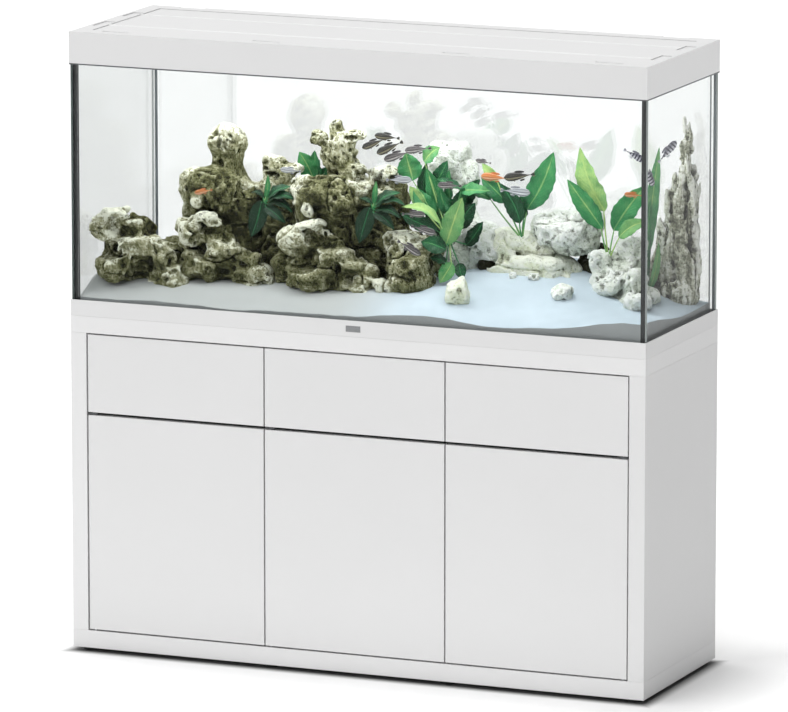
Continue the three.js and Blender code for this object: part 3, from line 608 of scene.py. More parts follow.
class StoneField:
    """A block of space on a grid that holds a distance to the stone's surface: negative inside."""

    def __init__(self, low, high, cell):
        self.low, self.cell = np.array(low), cell
        counts = np.ceil((np.array(high) - self.low) / cell).astype(int) + 1
        self.axes = [self.low[k] + np.arange(counts[k]) * cell for k in range(3)]
        self.field = np.full(counts, FAR, np.float32)
        self.tone = np.full(counts, 0.5, np.float32)
        # Painted shade for narrow pits, filled in as they are carved.
        self.pit_shade = np.zeros(counts, np.float32)

    def window(self, centre, reach):
        """The slices of the grid within reach of centre, and the offsets from centre along each axis."""
        spans = []
        offsets = []
        for axis, middle, distance in zip(self.axes, centre, reach):
            start, stop = np.searchsorted(axis, (middle - distance, middle + distance))
            spans.append(slice(start, stop))
            offsets.append((axis[start:stop] - middle).astype(np.float32))
        x, y, z = offsets
        return tuple(spans), x[:, None, None], y[None, :, None], z[None, None, :]

    def add_lump(self, centre, radii, blend, tone, broken, square, rng, cut=(0.76, 1.0)):
        """An ellipsoid with flat broken sides, joined to what is there; tone is 0 for dark to 1 for crust.

        square is 2 for a true ellipsoid, and more for a boxier stone; cut is how far out the sides break off.
        """
        spans, x, y, z = self.window(centre, [r + 4 * blend for r in radii])
        a, b, c = radii
        u, v, w = np.abs(x) / a, np.abs(y) / b, np.abs(z) / c
        near = (u**square + v**square + w**square) ** (1 / square) + 1e-4
        parts = zip((u, v, w), radii)
        slope = np.sqrt(sum((part ** (square - 1) / radius) ** 2 for part, radius in parts))
        lump = (near - 1) * near ** (square - 1) / (slope + 1e-4)
        for _ in range(broken):
            i, j, k = direction = unit(rng.normal(size=3))
            reach = np.linalg.norm(direction * radii) * rng.uniform(*cut)
            lump = -smooth_min(-lump, reach - (x * i + y * j + z * k), BREAK_BLEND)
        before = self.field[spans]
        share = np.clip(0.5 + (before - lump) / (2 * blend), 0, 1)
        self.tone[spans] += (tone - self.tone[spans]) * share
        self.field[spans] = smooth_min(before, lump, blend)

    def carve_ball(self, centre, radii, blend):
        spans, x, y, z = self.window(centre, [r + 2 * blend for r in radii])
        a, b, c = radii
        near = np.sqrt((x / a) ** 2 + (y / b) ** 2 + (z / c) ** 2)
        hole = (near - 1) * min(radii)
        before = self.field[spans]
        # Painted shade: how far each point lies down in a narrow pit.
        depth = np.where(hole < self.cell, np.clip(-before / PIT_DEPTH, 0, 1), 0)
        narrow = np.clip((PIT_WIDEST - min(radii)) / PIT_DEPTH, 0, 1)
        self.pit_shade[spans] = np.maximum(self.pit_shade[spans], depth * narrow)
        self.field[spans] = -smooth_min(-before, hole, blend)

    def roughen(self, size, height, seed):
        self.field += height * lattice_noise(self.axes, size, seed)

    def crack(self, size, depth, width, seed):
        """Carves narrow valleys where a noise of that size crosses zero."""
        noise = np.abs(lattice_noise(self.axes, size, seed))
        self.field += depth * np.maximum(0, 1 - noise / width)

    def outward(self, spot):
        """The direction away from the stone at a grid point."""
        spot = np.clip(spot, 1, np.array(self.field.shape) - 2)
        steps = np.eye(3, dtype=int)
        slope = [self.field[tuple(spot + step)] - self.field[tuple(spot - step)] for step in steps]
        return unit(np.array(slope) + 1e-9)

    def carve_pits(self, count, smallest, largest, seed):
        """Deep holes where they are small, and shallow scoops with ridges between where they are wide."""
        rng = np.random.default_rng(seed)
        near = np.argwhere(np.abs(self.field) < self.cell * 0.7)
        chosen = near[rng.integers(0, len(near), count)]
        for spot in chosen:
            radius = smallest + (largest - smallest) * rng.random() ** 2
            squeeze = rng.uniform(0.6, 1.25, 3)
            lift = np.clip((radius - SCOOP_RADIUS) / SCOOP_SPAN, 0, 0.6)
            centre = self.low + spot * self.cell + self.outward(spot) * radius * lift
            self.carve_ball(centre, radius * squeeze, PIT_BLEND)

    def blurred(self, reach):
        """The share of stone within reach of each point."""
        reach = round(reach / self.cell)
        width = 2 * reach + 1
        share = (self.field < 0).astype(np.float32)
        for axis in range(3):
            margins = [(0, 0)] * 3
            margins[axis] = (reach + 1, reach)
            summed = np.moveaxis(np.cumsum(np.pad(share, margins, "edge"), axis), axis, 0)
            share = np.moveaxis(summed[width:] - summed[:-width], 0, axis) / width
        return share

    def surface(self):
        """The surface as vertices and quads: one vertex in each cell that the surface crosses."""
        field = self.field
        for axis in range(3):
            for end in (0, -1):
                np.moveaxis(field, axis, 0)[end] = self.cell
        inside = field < 0
        shape = np.array(field.shape) - 1
        corners = sum(
            inside[a : a + shape[0], b : b + shape[1], c : c + shape[2]].astype(np.int8)
            for a, b, c in np.ndindex(2, 2, 2)
        )
        active = (corners > 0) & (corners < 8)
        cells = np.argwhere(active)
        index = np.full(active.shape, -1)
        index[active] = np.arange(len(cells))
        total = np.zeros((len(cells), 3))
        count = np.zeros(len(cells))
        for axis in range(3):
            for pair in np.ndindex(2, 2):
                start = cells + np.insert(np.array(pair), axis, 0)
                end = start + np.eye(3, dtype=int)[axis]
                at_start, at_end = field[tuple(start.T)], field[tuple(end.T)]
                crossed = (at_start < 0) != (at_end < 0)
                share = at_start[crossed] / (at_start[crossed] - at_end[crossed])
                total[crossed] += start[crossed]
                total[crossed, axis] += share
                count[crossed] += 1
        vertices = total / count[:, None]
        faces = [self.quads_across(inside, index, axis) for axis in range(3)]
        return vertices, np.concatenate(faces)

    def quads_across(self, inside, index, axis):
        ahead = np.roll(inside, -1, axis)
        change = inside != ahead
        edges = np.argwhere(change)
        second, third = (axis + 1) % 3, (axis + 2) % 3
        limit = np.array(inside.shape) - 1
        keep = (edges > 0).all(1) & (edges < limit).all(1)
        edges = edges[keep]
        quads = []
        for b, c in ((0, 0), (-1, 0), (-1, -1), (0, -1)):
            cell = edges.copy()
            cell[:, second] += b
            cell[:, third] += c
            quads.append(index[tuple(cell.T)])
        quads = np.stack(quads, 1)
        outward = inside[tuple(edges.T)]
        quads[~outward] = quads[~outward][:, ::-1]
        return quads

    def piece(self, name, material, slot):
        places, faces = without_crumbs(*self.surface(), CRUMB_AREA / self.cell**2)
        made = new_piece(name, self.low + places * self.cell, faces, material)
        nearest = tuple(np.clip(np.rint(places).astype(int), 0, np.array(self.field.shape) - 1).T)
        # Painted shade for crevices and painted light and shade for edges, from the share of stone round each
        # vertex.
        crevice_shade, edge = self.blurred(CREVICE_REACH), self.blurred(EDGE_REACH)
        layers = {"crevice_shade": crevice_shade, "edge": edge, "tone": self.tone, "pit_shade": self.pit_shade}
        for layer, values in layers.items():
            add_attribute(made, layer, values[nearest])
        return made


def without_crumbs(vertices, faces, smallest):
    """The mesh without its loose parts of fewer faces than smallest; the largest part always stays."""
    label = np.arange(len(vertices))
    while True:
        lowest = label[faces].min(1)
        joined = label.copy()
        for corner in faces.T:
            np.minimum.at(joined, corner, lowest)
        joined = joined[joined]
        if np.array_equal(joined, label):
            break
        label = joined
    part = label[faces[:, 0]]
    size = np.bincount(part)
    faces = faces[size[part] >= min(smallest, size.max())]
    used, numbers = np.unique(faces, return_inverse=True)
    return vertices[used], numbers.reshape(faces.shape)


# Loose parts with less surface than this are crumbs.
CRUMB_AREA = 0.003
# Narrow pits are painted dark, as shade, over this depth, and wider pits than this are not.
PIT_DEPTH = 0.005
PIT_WIDEST = 0.012
# How far round a point the share of stone is taken, to paint shade into crevices and light and shade onto
# sharp edges.
CREVICE_REACH = 0.015
EDGE_REACH = 0.007
FINISH_SLOT = {"cream_stone": "pale_stone"}
STONE_CELL = 0.003
STONE_FLOOR = TANK_FLOOR + 0.012
PILE_MARGIN = 0.02
# The half depth of a lump as a share of its half width.
LUMP_DEPTH = 0.9


def unit(vector):
    return vector / np.linalg.norm(vector)


def stone_pile(name, lumps, blend, broken, square, grains, cracks, pits, finish, seed, depth=LUMP_DEPTH):
    """lumps are (x, y, z, half width, half height) in mm and a tone.

    Each lump has that many broken sides, and square says how boxy it is. grains, cracks and pits are the
    numbers for roughen, crack and carve_pits.
    """
    spots = np.array([lump[:3] for lump in lumps]) * MM
    sizes = np.array([[lump[3], lump[3] * depth, lump[4]] for lump in lumps]) * MM
    low = (spots - sizes).min(0) - PILE_MARGIN
    low[2] = STONE_FLOOR
    high = (spots + sizes).max(0) + PILE_MARGIN
    low[:2] = np.maximum(low[:2], (-INSIDE_X, -INSIDE_Y))
    high[:2] = np.minimum(high[:2], (INSIDE_X, INSIDE_Y))
    stone = StoneField(low, high, STONE_CELL)
    rng = np.random.default_rng(seed)
    for spot, size, lump in zip(spots, sizes, lumps):
        stone.add_lump(spot, size, blend, lump[5], broken, square, rng)
    for pit in pits:
        stone.carve_pits(*pit)
    for grain in grains:
        stone.roughen(*grain)
    for crack in cracks:
        stone.crack(*crack)
    return stone.piece(name, MATERIALS[finish], FINISH_SLOT.get(finish, finish))


def moved(lumps, dx, dy, dz):
    return [(x + dx, y + dy, z + dz, *rest) for x, y, z, *rest in lumps]


# A stack of boulders that stands three times along the front of the left pile.
BOULDER_STACK = [
    (-495, -95, 1046, 46, 42, 0.78), (-462, -104, 1086, 42, 14, 1.0), (-432, -100, 1068, 26, 14, 0.75),
    (-462, -92, 962, 66, 46, 0.42), (-492, -84, 948, 38, 38, 0.4), (-428, -112, 1012, 34, 26, 0.62),
    (-418, -112, 988, 16, 26, 0.6), (-382, -92, 1010, 42, 24, 0.55), (-350, -88, 985, 36, 24, 0.42),
    (-400, -62, 965, 62, 46, 0.05), (-358, -80, 944, 42, 40, 0.45), (-318, -92, 935, 36, 38, 0.62),
    (-440, -60, 1030, 60, 48, 0.08), (-470, -45, 1015, 56, 56, 0.0),
]
LEFT_TOWER = [
    (-455, -34, 1142, 72, 58, 0.2), (-514, -46, 1146, 32, 46, 0.8), (-505, -40, 1100, 30, 48, 0.62),
    (-478, -92, 1122, 15, 15, 0.95), (-430, -60, 1125, 46, 56, 0.25), (-446, -30, 1076, 68, 60, 0.05),
    (-390, -10, 1080, 66, 74, 0.0), (-320, 10, 1106, 56, 56, 0.1), (-290, 0, 1035, 56, 66, 0.1),
    (-330, 0, 980, 66, 56, 0.1), (-420, -10, 990, 86, 66, 0.1),
]
LEFT_ARCH = [
    (-437, -10, 1262, 46, 46, 0.66), (-442, -8, 1212, 36, 44, 0.5), (-436, -5, 1160, 44, 40, 0.45),
    (-405, -5, 1146, 36, 22, 0.55), (-372, -5, 1136, 32, 20, 0.8), (-335, 0, 1146, 34, 30, 0.62),
    (-334, -2, 1196, 15, 40, 0.6), (-304, 8, 1180, 32, 40, 0.5), (-318, 5, 1212, 22, 18, 0.8),
    (-268, 14, 1200, 24, 12, 0.8), (-296, 15, 1118, 50, 56, 0.4),
]
MIDDLE_TOWER = [
    (-145, -50, 1148, 76, 56, 0.2), (-214, -60, 1152, 34, 44, 0.8), (-208, -54, 1098, 30, 56, 0.62),
    (-178, -108, 1118, 15, 17, 0.95), (-115, -72, 1136, 46, 54, 0.25), (-140, -40, 1082, 76, 62, 0.05),
    (-90, -15, 1078, 68, 74, 0.0), (-5, 20, 1125, 46, 62, 0.2), (-10, 0, 1040, 56, 66, 0.1),
    (-60, 0, 980, 80, 60, 0.1), (-170, -10, 990, 90, 66, 0.1), (-236, -40, 1010, 44, 66, 0.1),
    (-236, -60, 955, 56, 58, 0.3),
]
MIDDLE_ARCH = [
    (-128, -12, 1262, 42, 46, 0.62), (-142, -12, 1308, 22, 34, 0.5), (-104, -12, 1296, 36, 17, 0.66),
    (-126, -12, 1214, 40, 42, 0.5), (-132, -8, 1165, 46, 40, 0.42), (-200, 0, 1278, 24, 22, 0.42),
    (-178, -3, 1252, 18, 26, 0.42), (-160, -5, 1220, 22, 28, 0.45), (-80, -32, 1216, 22, 16, 0.62),
    (-72, -38, 1170, 34, 26, 0.8), (-98, -36, 1190, 14, 34, 0.6), (-46, -36, 1196, 14, 30, 0.55),
    (-14, 10, 1200, 40, 28, 0.72), (-50, -5, 1150, 46, 30, 0.45), (-15, 15, 1146, 44, 48, 0.42),
]
MIDDLE_FOOT = [
    (-30, -90, 953, 30, 42, 0.55), (20, -107, 940, 32, 30, 0.85), (75, -70, 973, 68, 64, 0.42),
    (50, -50, 1040, 52, 38, 0.75), (100, -40, 1025, 40, 44, 0.5), (130, -30, 1000, 26, 50, 0.4),
    (60, -20, 1000, 66, 66, 0.1),
]
FIRST_FOOT = [
    (-562, -84, 996, 48, 36, 0.35), (-572, -97, 951, 58, 46, 0.2),
]
LIMESTONE = [
    (190, 85, 1035, 58, 56, 0.55), (160, 85, 985, 50, 60, 0.45), (222, 78, 1012, 44, 34, 0.65),
    (240, 90, 960, 50, 40, 0.3), (526, 45, 1012, 30, 42, 0.55), (545, 50, 960, 48, 50, 0.5),
    (566, 12, 972, 38, 36, 0.6), (595, 85, 1040, 42, 38, 0.5), (570, 75, 1000, 50, 44, 0.45),
    (620, 30, 965, 38, 50, 0.4), (650, -25, 935, 38, 28, 0.75), (600, 50, 930, 76, 36, 0.35),
]
PITTED_ROCK = [
    (417, 90, 1078, 84, 44, 0.7), (378, 92, 1085, 56, 38, 0.65), (462, 100, 1096, 48, 48, 0.55),
    (440, 96, 1052, 60, 34, 0.45),
]
SLABS = [
    (288, 80, 1032, 70, 40, 0.62), (344, 78, 1016, 62, 34, 0.7), (300, 66, 972, 76, 40, 0.55),
    (380, 60, 982, 92, 44, 0.75), (400, 76, 940, 100, 50, 0.5),
]
# Very dark lumps set where there is only shade: in the opening behind the slabs and under the left limestone.
CAVE_SHADE_ROCK = [
    (482, 118, 985, 50, 66, -0.8), (222, 62, 984, 26, 22, -0.8),
]
BACK_ROCK = [
    (96, 145, 1220, 56, 52, 0.5), (66, 145, 1238, 34, 34, 0.55), (134, 142, 1188, 36, 46, 0.5),
    (60, 145, 1165, 44, 56, 0.45), (105, 135, 1110, 50, 60, 0.5), (120, 120, 1040, 60, 66, 0.4),
    (130, 110, 960, 66, 66, 0.4),
]
SPIRE = [
    (672, 182, 925, 56, 50, 0.45), (640, 172, 975, 22, 74, 0.35), (608, 160, 952, 26, 58, 0.5),
    (622, 165, 985, 16, 56, 0.65), (638, 168, 1050, 15, 76, 0.65), (650, 178, 1120, 10, 66, 0.7),
    (716, 190, 1050, 12, 60, 0.75), (662, 168, 1000, 18, 96, 0.55), (708, 190, 985, 24, 96, 0.6),
    (690, 170, 1010, 20, 90, 0.4), (660, 188, 1080, 20, 90, 0.5), (682, 178, 1100, 22, 110, 0.35),
    (704, 192, 1090, 22, 96, 0.65), (668, 186, 1150, 15, 84, 0.55), (688, 186, 1190, 19, 110, 0.5),
    (709, 196, 1160, 14, 86, 0.6), (681, 186, 1262, 12, 74, 0.6), (696, 188, 1252, 13, 76, 0.4),
    (689, 186, 1308, 10, 54, 0.65),
]
PEBBLE_CELL = 0.002
PEBBLE_MARGIN = 0.008
# Each loose stone is its middle and its half sizes in mm, and its seed.
PEBBLES = {
    "stone_cream": ((222, -142, 952), (40, 27, 44), 36),
    "stone_front": ((472, -66, 956), (44, 24, 26), 32),
    "stone_small_left": ((313, 0, 972), (13, 11, 10), 33),
    "stone_small_right": ((373, 0, 975), (17, 12, 11), 34),
}
# Relief for stone_pile: how boxy and how broken the lumps are, then grains, cracks and pits per lump.
SMOOTH_WORN = (
    2.3, 4, ((0.05, 0.008), (0.02, 0.004), (0.009, 0.0018)), ((0.06, 0.006, 0.06),),
    ((9, 0.014, 0.034), (8, 0.003, 0.007)),
)
PITTED = (
    2.3, 5, ((0.045, 0.007), (0.02, 0.005), (0.01, 0.0025)), ((0.05, 0.008, 0.08),),
    ((7, 0.012, 0.026), (40, 0.003, 0.007)),
)
SMOOTH_NECKED = (
    2.2, 2, ((0.05, 0.006), (0.02, 0.004), (0.009, 0.0016)), (),
    ((4, 0.01, 0.022), (30, 0.003, 0.007)),
)
OLIVE_PILES = {
    "olive_rocks_left": (moved(BOULDER_STACK, -208, -44, -3) + FIRST_FOOT, 0.009, SMOOTH_WORN),
    "olive_rocks_centre": (BOULDER_STACK, 0.009, SMOOTH_WORN),
    "olive_rocks_right": (moved(BOULDER_STACK, 286, -4, -3), 0.009, SMOOTH_WORN),
    "olive_tower_left": (LEFT_TOWER, 0.009, PITTED),
    "olive_tower_middle": (MIDDLE_TOWER, 0.009, PITTED),
    "olive_holed_boulder": (MIDDLE_FOOT, 0.01, PITTED),
    "olive_arch_left": (LEFT_ARCH, 0.014, SMOOTH_NECKED),
    "olive_arch_middle": (MIDDLE_ARCH, 0.012, SMOOTH_NECKED),
}


def add_olive_piles():
    for number, (name, (lumps, blend, relief)) in enumerate(OLIVE_PILES.items()):
        square, broken, grains, cracks, pits = relief
        seed = 100 * number
        pile = stone_pile(
            name, lumps, blend, broken, square,
            [(size, height, seed + k) for k, (size, height) in enumerate(grains, 1)],
            [(size, depth, width, seed + k) for k, (size, depth, width) in enumerate(cracks, 4)],
            [(count * len(lumps), least, most, seed + k) for k, (count, least, most) in enumerate(pits, 6)],
            "dark_stone", seed + 8,
        )
        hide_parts("rock_pile_left")


def add_stones():
    add_olive_piles()
    pale = stone_pile(
        "limestone_rocks", LIMESTONE, 0.006, 7, 2.6,
        [(0.045, 0.006, 6), (0.018, 0.004, 7), (0.009, 0.002, 8)], [(0.04, 0.006, 0.1, 61)],
        [(60, 0.012, 0.026, 10), (300, 0.002, 0.0052, 9)], "pale_stone", 62,
    )
    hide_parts("rock_pile_right")
    stone_pile(
        "limestone_pitted_rock", PITTED_ROCK, 0.01, 4, 2.4,
        [(0.045, 0.006, 71), (0.018, 0.004, 72), (0.009, 0.002, 73)], [(0.035, 0.007, 0.1, 74)],
        [(16, 0.01, 0.018, 76), (280, 0.002, 0.0054, 75)], "pale_stone", 77,
    )
    stone_pile(
        "limestone_slabs", SLABS, 0.006, 4, 4.0,
        [(0.07, 0.007, 11), (0.025, 0.003, 12)], [(0.06, 0.006, 0.06, 63)],
        [(26, 0.01, 0.022, 12), (50, 0.002, 0.0052, 13)], "cream_stone", 64, 0.6,
    )
    # Dark stone that stands for the shade in the cave openings.
    stone_pile(
        "cave_shade_rocks", CAVE_SHADE_ROCK, 0.006, 5, 2.2, [(0.03, 0.006, 81)], [(0.03, 0.004, 0.1, 82)],
        [(60, 0.003, 0.008, 83)], "dark_stone", 84,
    )
    stone_pile(
        "limestone_back_rock", BACK_ROCK, 0.008, 8, 2.6,
        [(0.05, 0.009, 14), (0.02, 0.006, 15), (0.01, 0.002, 70)], [(0.04, 0.006, 0.1, 65)],
        [(50, 0.012, 0.026, 16), (200, 0.002, 0.0054, 71)], "pale_stone", 66,
    )
    spire = stone_pile(
        "banded_spire", SPIRE, 0.003, 5, 2.0,
        [((0.014, 0.014, 0.09), 0.0075, 17), ((0.007, 0.007, 0.03), 0.0035, 18), (0.012, 0.003, 67)],
        [((0.016, 0.016, 0.14), 0.009, 0.14, 68)],
        [(200, 0.003, 0.007, 19)], "spire_stone", 69,
    )
    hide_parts("spire_rock")
    add_pebbles()


def add_pebbles():
    for name, (centre, radii, seed) in PEBBLES.items():
        middle, size = np.array(centre) * MM, np.array(radii) * MM
        lump = StoneField(middle - size - PEBBLE_MARGIN, middle + size + PEBBLE_MARGIN, PEBBLE_CELL)
        lump.add_lump(middle, size, 0.003, 0.48, 9, 2.0, np.random.default_rng(seed), (0.5, 0.86))
        lump.carve_pits(4, 0.003, 0.014, seed + 20)
        lump.roughen(0.02, 0.004, seed)
        lump.roughen(0.008, 0.002, seed + 10)
        lump.piece(name, MATERIALS["cream_stone" if name == "stone_cream" else "pale_stone"], "pale_stone")


# ---- Sand ----

SAND_STEP = 0.008
SAND_GAP = 0.0004
# How many steps to each side the two outlines are smoothed over.
SAND_BLUR = 12
# The sand's level along the front and the back pane, as (x, z).
SAND_FRONT = [(-0.74, 0.882), (-0.1, 0.882), (0.175, 0.9), (0.43, 0.884), (0.6, 0.91), (0.74, 0.928)]
SAND_BACK = [(-0.74, 0.942), (0.05, 0.945), (0.2, 0.985), (0.48, 0.988), (0.6, 0.94), (0.74, 0.894)]
# How much of the rise from front to back is reached where, at the left and at the right of the tank.
RISE_LEFT = ((0.0, 0.18, 0.32, 1.0), (0.0, 0.68, 0.86, 1.0))
RISE_RIGHT = ((0.0, 0.56, 0.65, 1.0), (0.0, 0.94, 1.0, 1.0))


def sand_height(x, y):
    """The sand's level: a wavy line at the front pane, a smoother one at the back, and a bank between."""
    front = np.interp(x, *zip(*SAND_FRONT))
    back = np.interp(x, *zip(*SAND_BACK))
    share = np.clip((y + INSIDE_Y) / (2 * INSIDE_Y), 0, 1)
    rise = np.interp(x, (0.08, 0.24), (np.interp(share, *RISE_LEFT), np.interp(share, *RISE_RIGHT)))
    return front + (back - front) * rise


def add_sand():
    reach_x, reach_y = INSIDE_X - SAND_GAP, INSIDE_Y - SAND_GAP
    xs = np.linspace(-reach_x, reach_x, int(2 * INSIDE_X / SAND_STEP))
    ys = np.linspace(-reach_y, reach_y, int(2 * INSIDE_Y / SAND_STEP))
    kernel = np.hanning(2 * SAND_BLUR + 1)
    kernel /= kernel.sum()
    grid = np.array([sand_height(xs, y) for y in ys])
    padded = np.pad(grid, ((0, 0), (SAND_BLUR, SAND_BLUR)), "edge")
    grid = np.array([np.convolve(row, kernel, "valid") for row in padded])
    for _ in range(3):
        padded = np.pad(grid, ((2, 2), (0, 0)), "edge")
        grid = sum(padded[k : k + len(ys)] for k in range(5)) / 5
    dunes = lattice_noise([xs, ys, np.array([0.0])], 0.11, 41)[:, :, 0].T
    ripples = lattice_noise([xs, ys, np.array([0.0])], 0.03, 42)[:, :, 0].T
    grid = grid + 0.004 * dunes + 0.001 * ripples
    top = [(x, y, grid[j, i]) for j, y in enumerate(ys) for i, x in enumerate(xs)]
    bottom = [(x, y, TANK_FLOOR + SAND_GAP) for y in ys for x in xs]
    above = grid_faces(len(ys) - 1, len(xs) - 1)
    flat = np.stack((above, len(top) + above[:, ::-1]), 1).reshape(-1, 4)
    index = np.arange(len(top)).reshape(len(ys), -1)
    rim = np.concatenate((index[0], index[1:, -1], index[-1, -2::-1], index[-2:0:-1, 0]))
    after = np.roll(rim, -1)
    sides = np.stack((len(top) + rim, len(top) + after, after, rim), 1)
    faces = np.concatenate((flat, sides))
    sand = new_piece("sand_surface", top + bottom, faces, MATERIALS["sand"])
    sand.data.polygons.foreach_set("use_smooth", [abs(p.normal.z) > 0.3 for p in sand.data.polygons])
    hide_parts("sand_bed")


# ---- Plants ----

LEAF_ROWS, LEAF_COLUMNS = 26, 8
LEAF_THICKNESS = 0.0009


def leaf_half_width(t, wave):
    """The half width of a blade along its length: widest before its middle, with a drawn-out tip."""
    if not 0 < t < 1:
        return 0.0
    body = math.sin(math.pi * t**0.78) ** 0.75
    drawn = 1.0 if t < 0.85 else 1.0 - 0.35 * (t - 0.85) / 0.15
    return body * drawn * (1 + 0.06 * math.sin(44 * t + wave))


def leaf_mesh(base, tip, width, facing, bow, rng):
    """A blade from base to tip: folded along its midrib, bowed, twisted, and wavy at its rim."""
    base, tip = Vector(base), Vector(tip)
    along = (tip - base).normalized()
    side = along.cross(Vector(facing)).normalized()
    up = side.cross(along)
    length = (tip - base).length
    vertices, uvs = [], []
    wave = rng.uniform(0, math.tau)
    swing = rng.uniform(-0.07, 0.07) * length
    twist = rng.uniform(-0.5, 0.5)
    for row in range(LEAF_ROWS + 1):
        t = row / LEAF_ROWS
        half = width / 2 * leaf_half_width(t, wave) + 0.0006
        rise = bow * length * (math.sin(math.pi * t) - 0.3 * t * t)
        turn = twist * (t - 0.3)
        across = side * math.cos(turn) + up * math.sin(turn)
        above = up * math.cos(turn) - side * math.sin(turn)
        middle = base + along * (length * t) + side * (swing * math.sin(math.pi * t)) + up * rise
        for column in range(LEAF_COLUMNS + 1):
            s = 2 * column / LEAF_COLUMNS - 1
            fold = -0.28 * half * (1 - abs(s)) ** 1.5
            ripple = 0.13 * half * s * s * math.sin(17 * t + wave + 1.4 * s)
            vertices.append(middle + across * (s * half) + above * (fold + ripple))
            uvs.append(((s + 1) / 2, t))
    return vertices, grid_faces(LEAF_ROWS, LEAF_COLUMNS), uvs


def stem_mesh(start, end, radius, sag):
    """A thin round stem on a slightly bent line."""
    start, end = Vector(start), Vector(end)
    rows, sides = 8, 6
    along = (end - start).normalized()
    side = along.orthogonal().normalized()
    other = along.cross(side)
    vertices = []
    for row in range(rows + 1):
        t = row / rows
        middle = start.lerp(end, t) + Vector((0, -sag * math.sin(math.pi * t), 0))
        thin = radius * (1.15 - 0.5 * t)
        for k in range(sides):
            turn = math.tau * k / sides
            vertices.append(middle + side * (thin * math.cos(turn)) + other * (thin * math.sin(turn)))
    return vertices, tube_faces(rows, sides), [(0.5, 0.02)] * len(vertices)


# Which way a leaf faces.
FRONTWARD = (0.35, -0.9, 0.25)
UPWARD = (0.2, -0.45, 0.87)


def add_plant(name, replaced, foot, leaves, seed, stem=0.0016):
    """leaves are (blade base, tip, width in mm, tint, facing, bow); each hangs on a stem from the foot."""
    rng = np.random.default_rng(seed)
    vertices, faces, uvs, tints = [], [], [], []

    def take(part, tint):
        start = len(vertices)
        vertices.extend(part[0])
        faces.extend(tuple(start + k for k in face) for face in part[1])
        uvs.extend(part[2])
        tints.extend([tint] * len(part[0]))

    root = Vector(foot) * MM
    for base, tip, width, tint, facing, bow in leaves:
        start, end = Vector(base) * MM, Vector(tip) * MM
        take(stem_mesh(root, start + (end - start) * 0.04, stem, 0.004), tint * 0.8 + 0.1)
        take(leaf_mesh(start, end, width * MM, facing, bow, rng), tint)
    plant = new_piece(name, vertices, faces, MATERIALS["leaf_green"])
    add_uv_map(plant, uvs)
    add_attribute(plant, "tint", tints)
    thick = plant.modifiers.new("thickness", "SOLIDIFY")
    thick.thickness = LEAF_THICKNESS
    thick.offset = 0.0
    subdivide(plant)
    if replaced:
        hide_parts(replaced)


def anubias(name, replaced, foot, seed):
    """A low clump with dark leaves that arch out from one foot."""
    x, y, z = foot
    leaves = [
        ((x - 2, y - 15, z + 6), (x - 22, y - 34, z - 82), 44, -0.1, (0.35, -0.9, 0.1), 0.08),
        ((x + 2, y, z + 10), (x + 6, y + 5, z + 66), 13, 0.45, FRONTWARD, 0.04),
        ((x - 4, y + 2, z + 12), (x - 40, y + 8, z + 22), 16, 0.0, UPWARD, 0.25),
        ((x + 8, y, z + 12), (x + 64, y + 12, z + 44), 34, 0.06, UPWARD, 0.22),
        ((x + 10, y - 4, z + 6), (x + 84, y + 2, z + 16), 34, 0.02, UPWARD, 0.26),
        ((x + 10, y - 10, z - 2), (x + 78, y - 12, z - 14), 30, -0.06, UPWARD, 0.24),
        ((x + 8, y - 16, z - 8), (x + 66, y - 26, z - 42), 28, -0.1, (0.3, -0.8, 0.5), 0.2),
    ]
    add_plant(name, replaced, foot, leaves, seed)


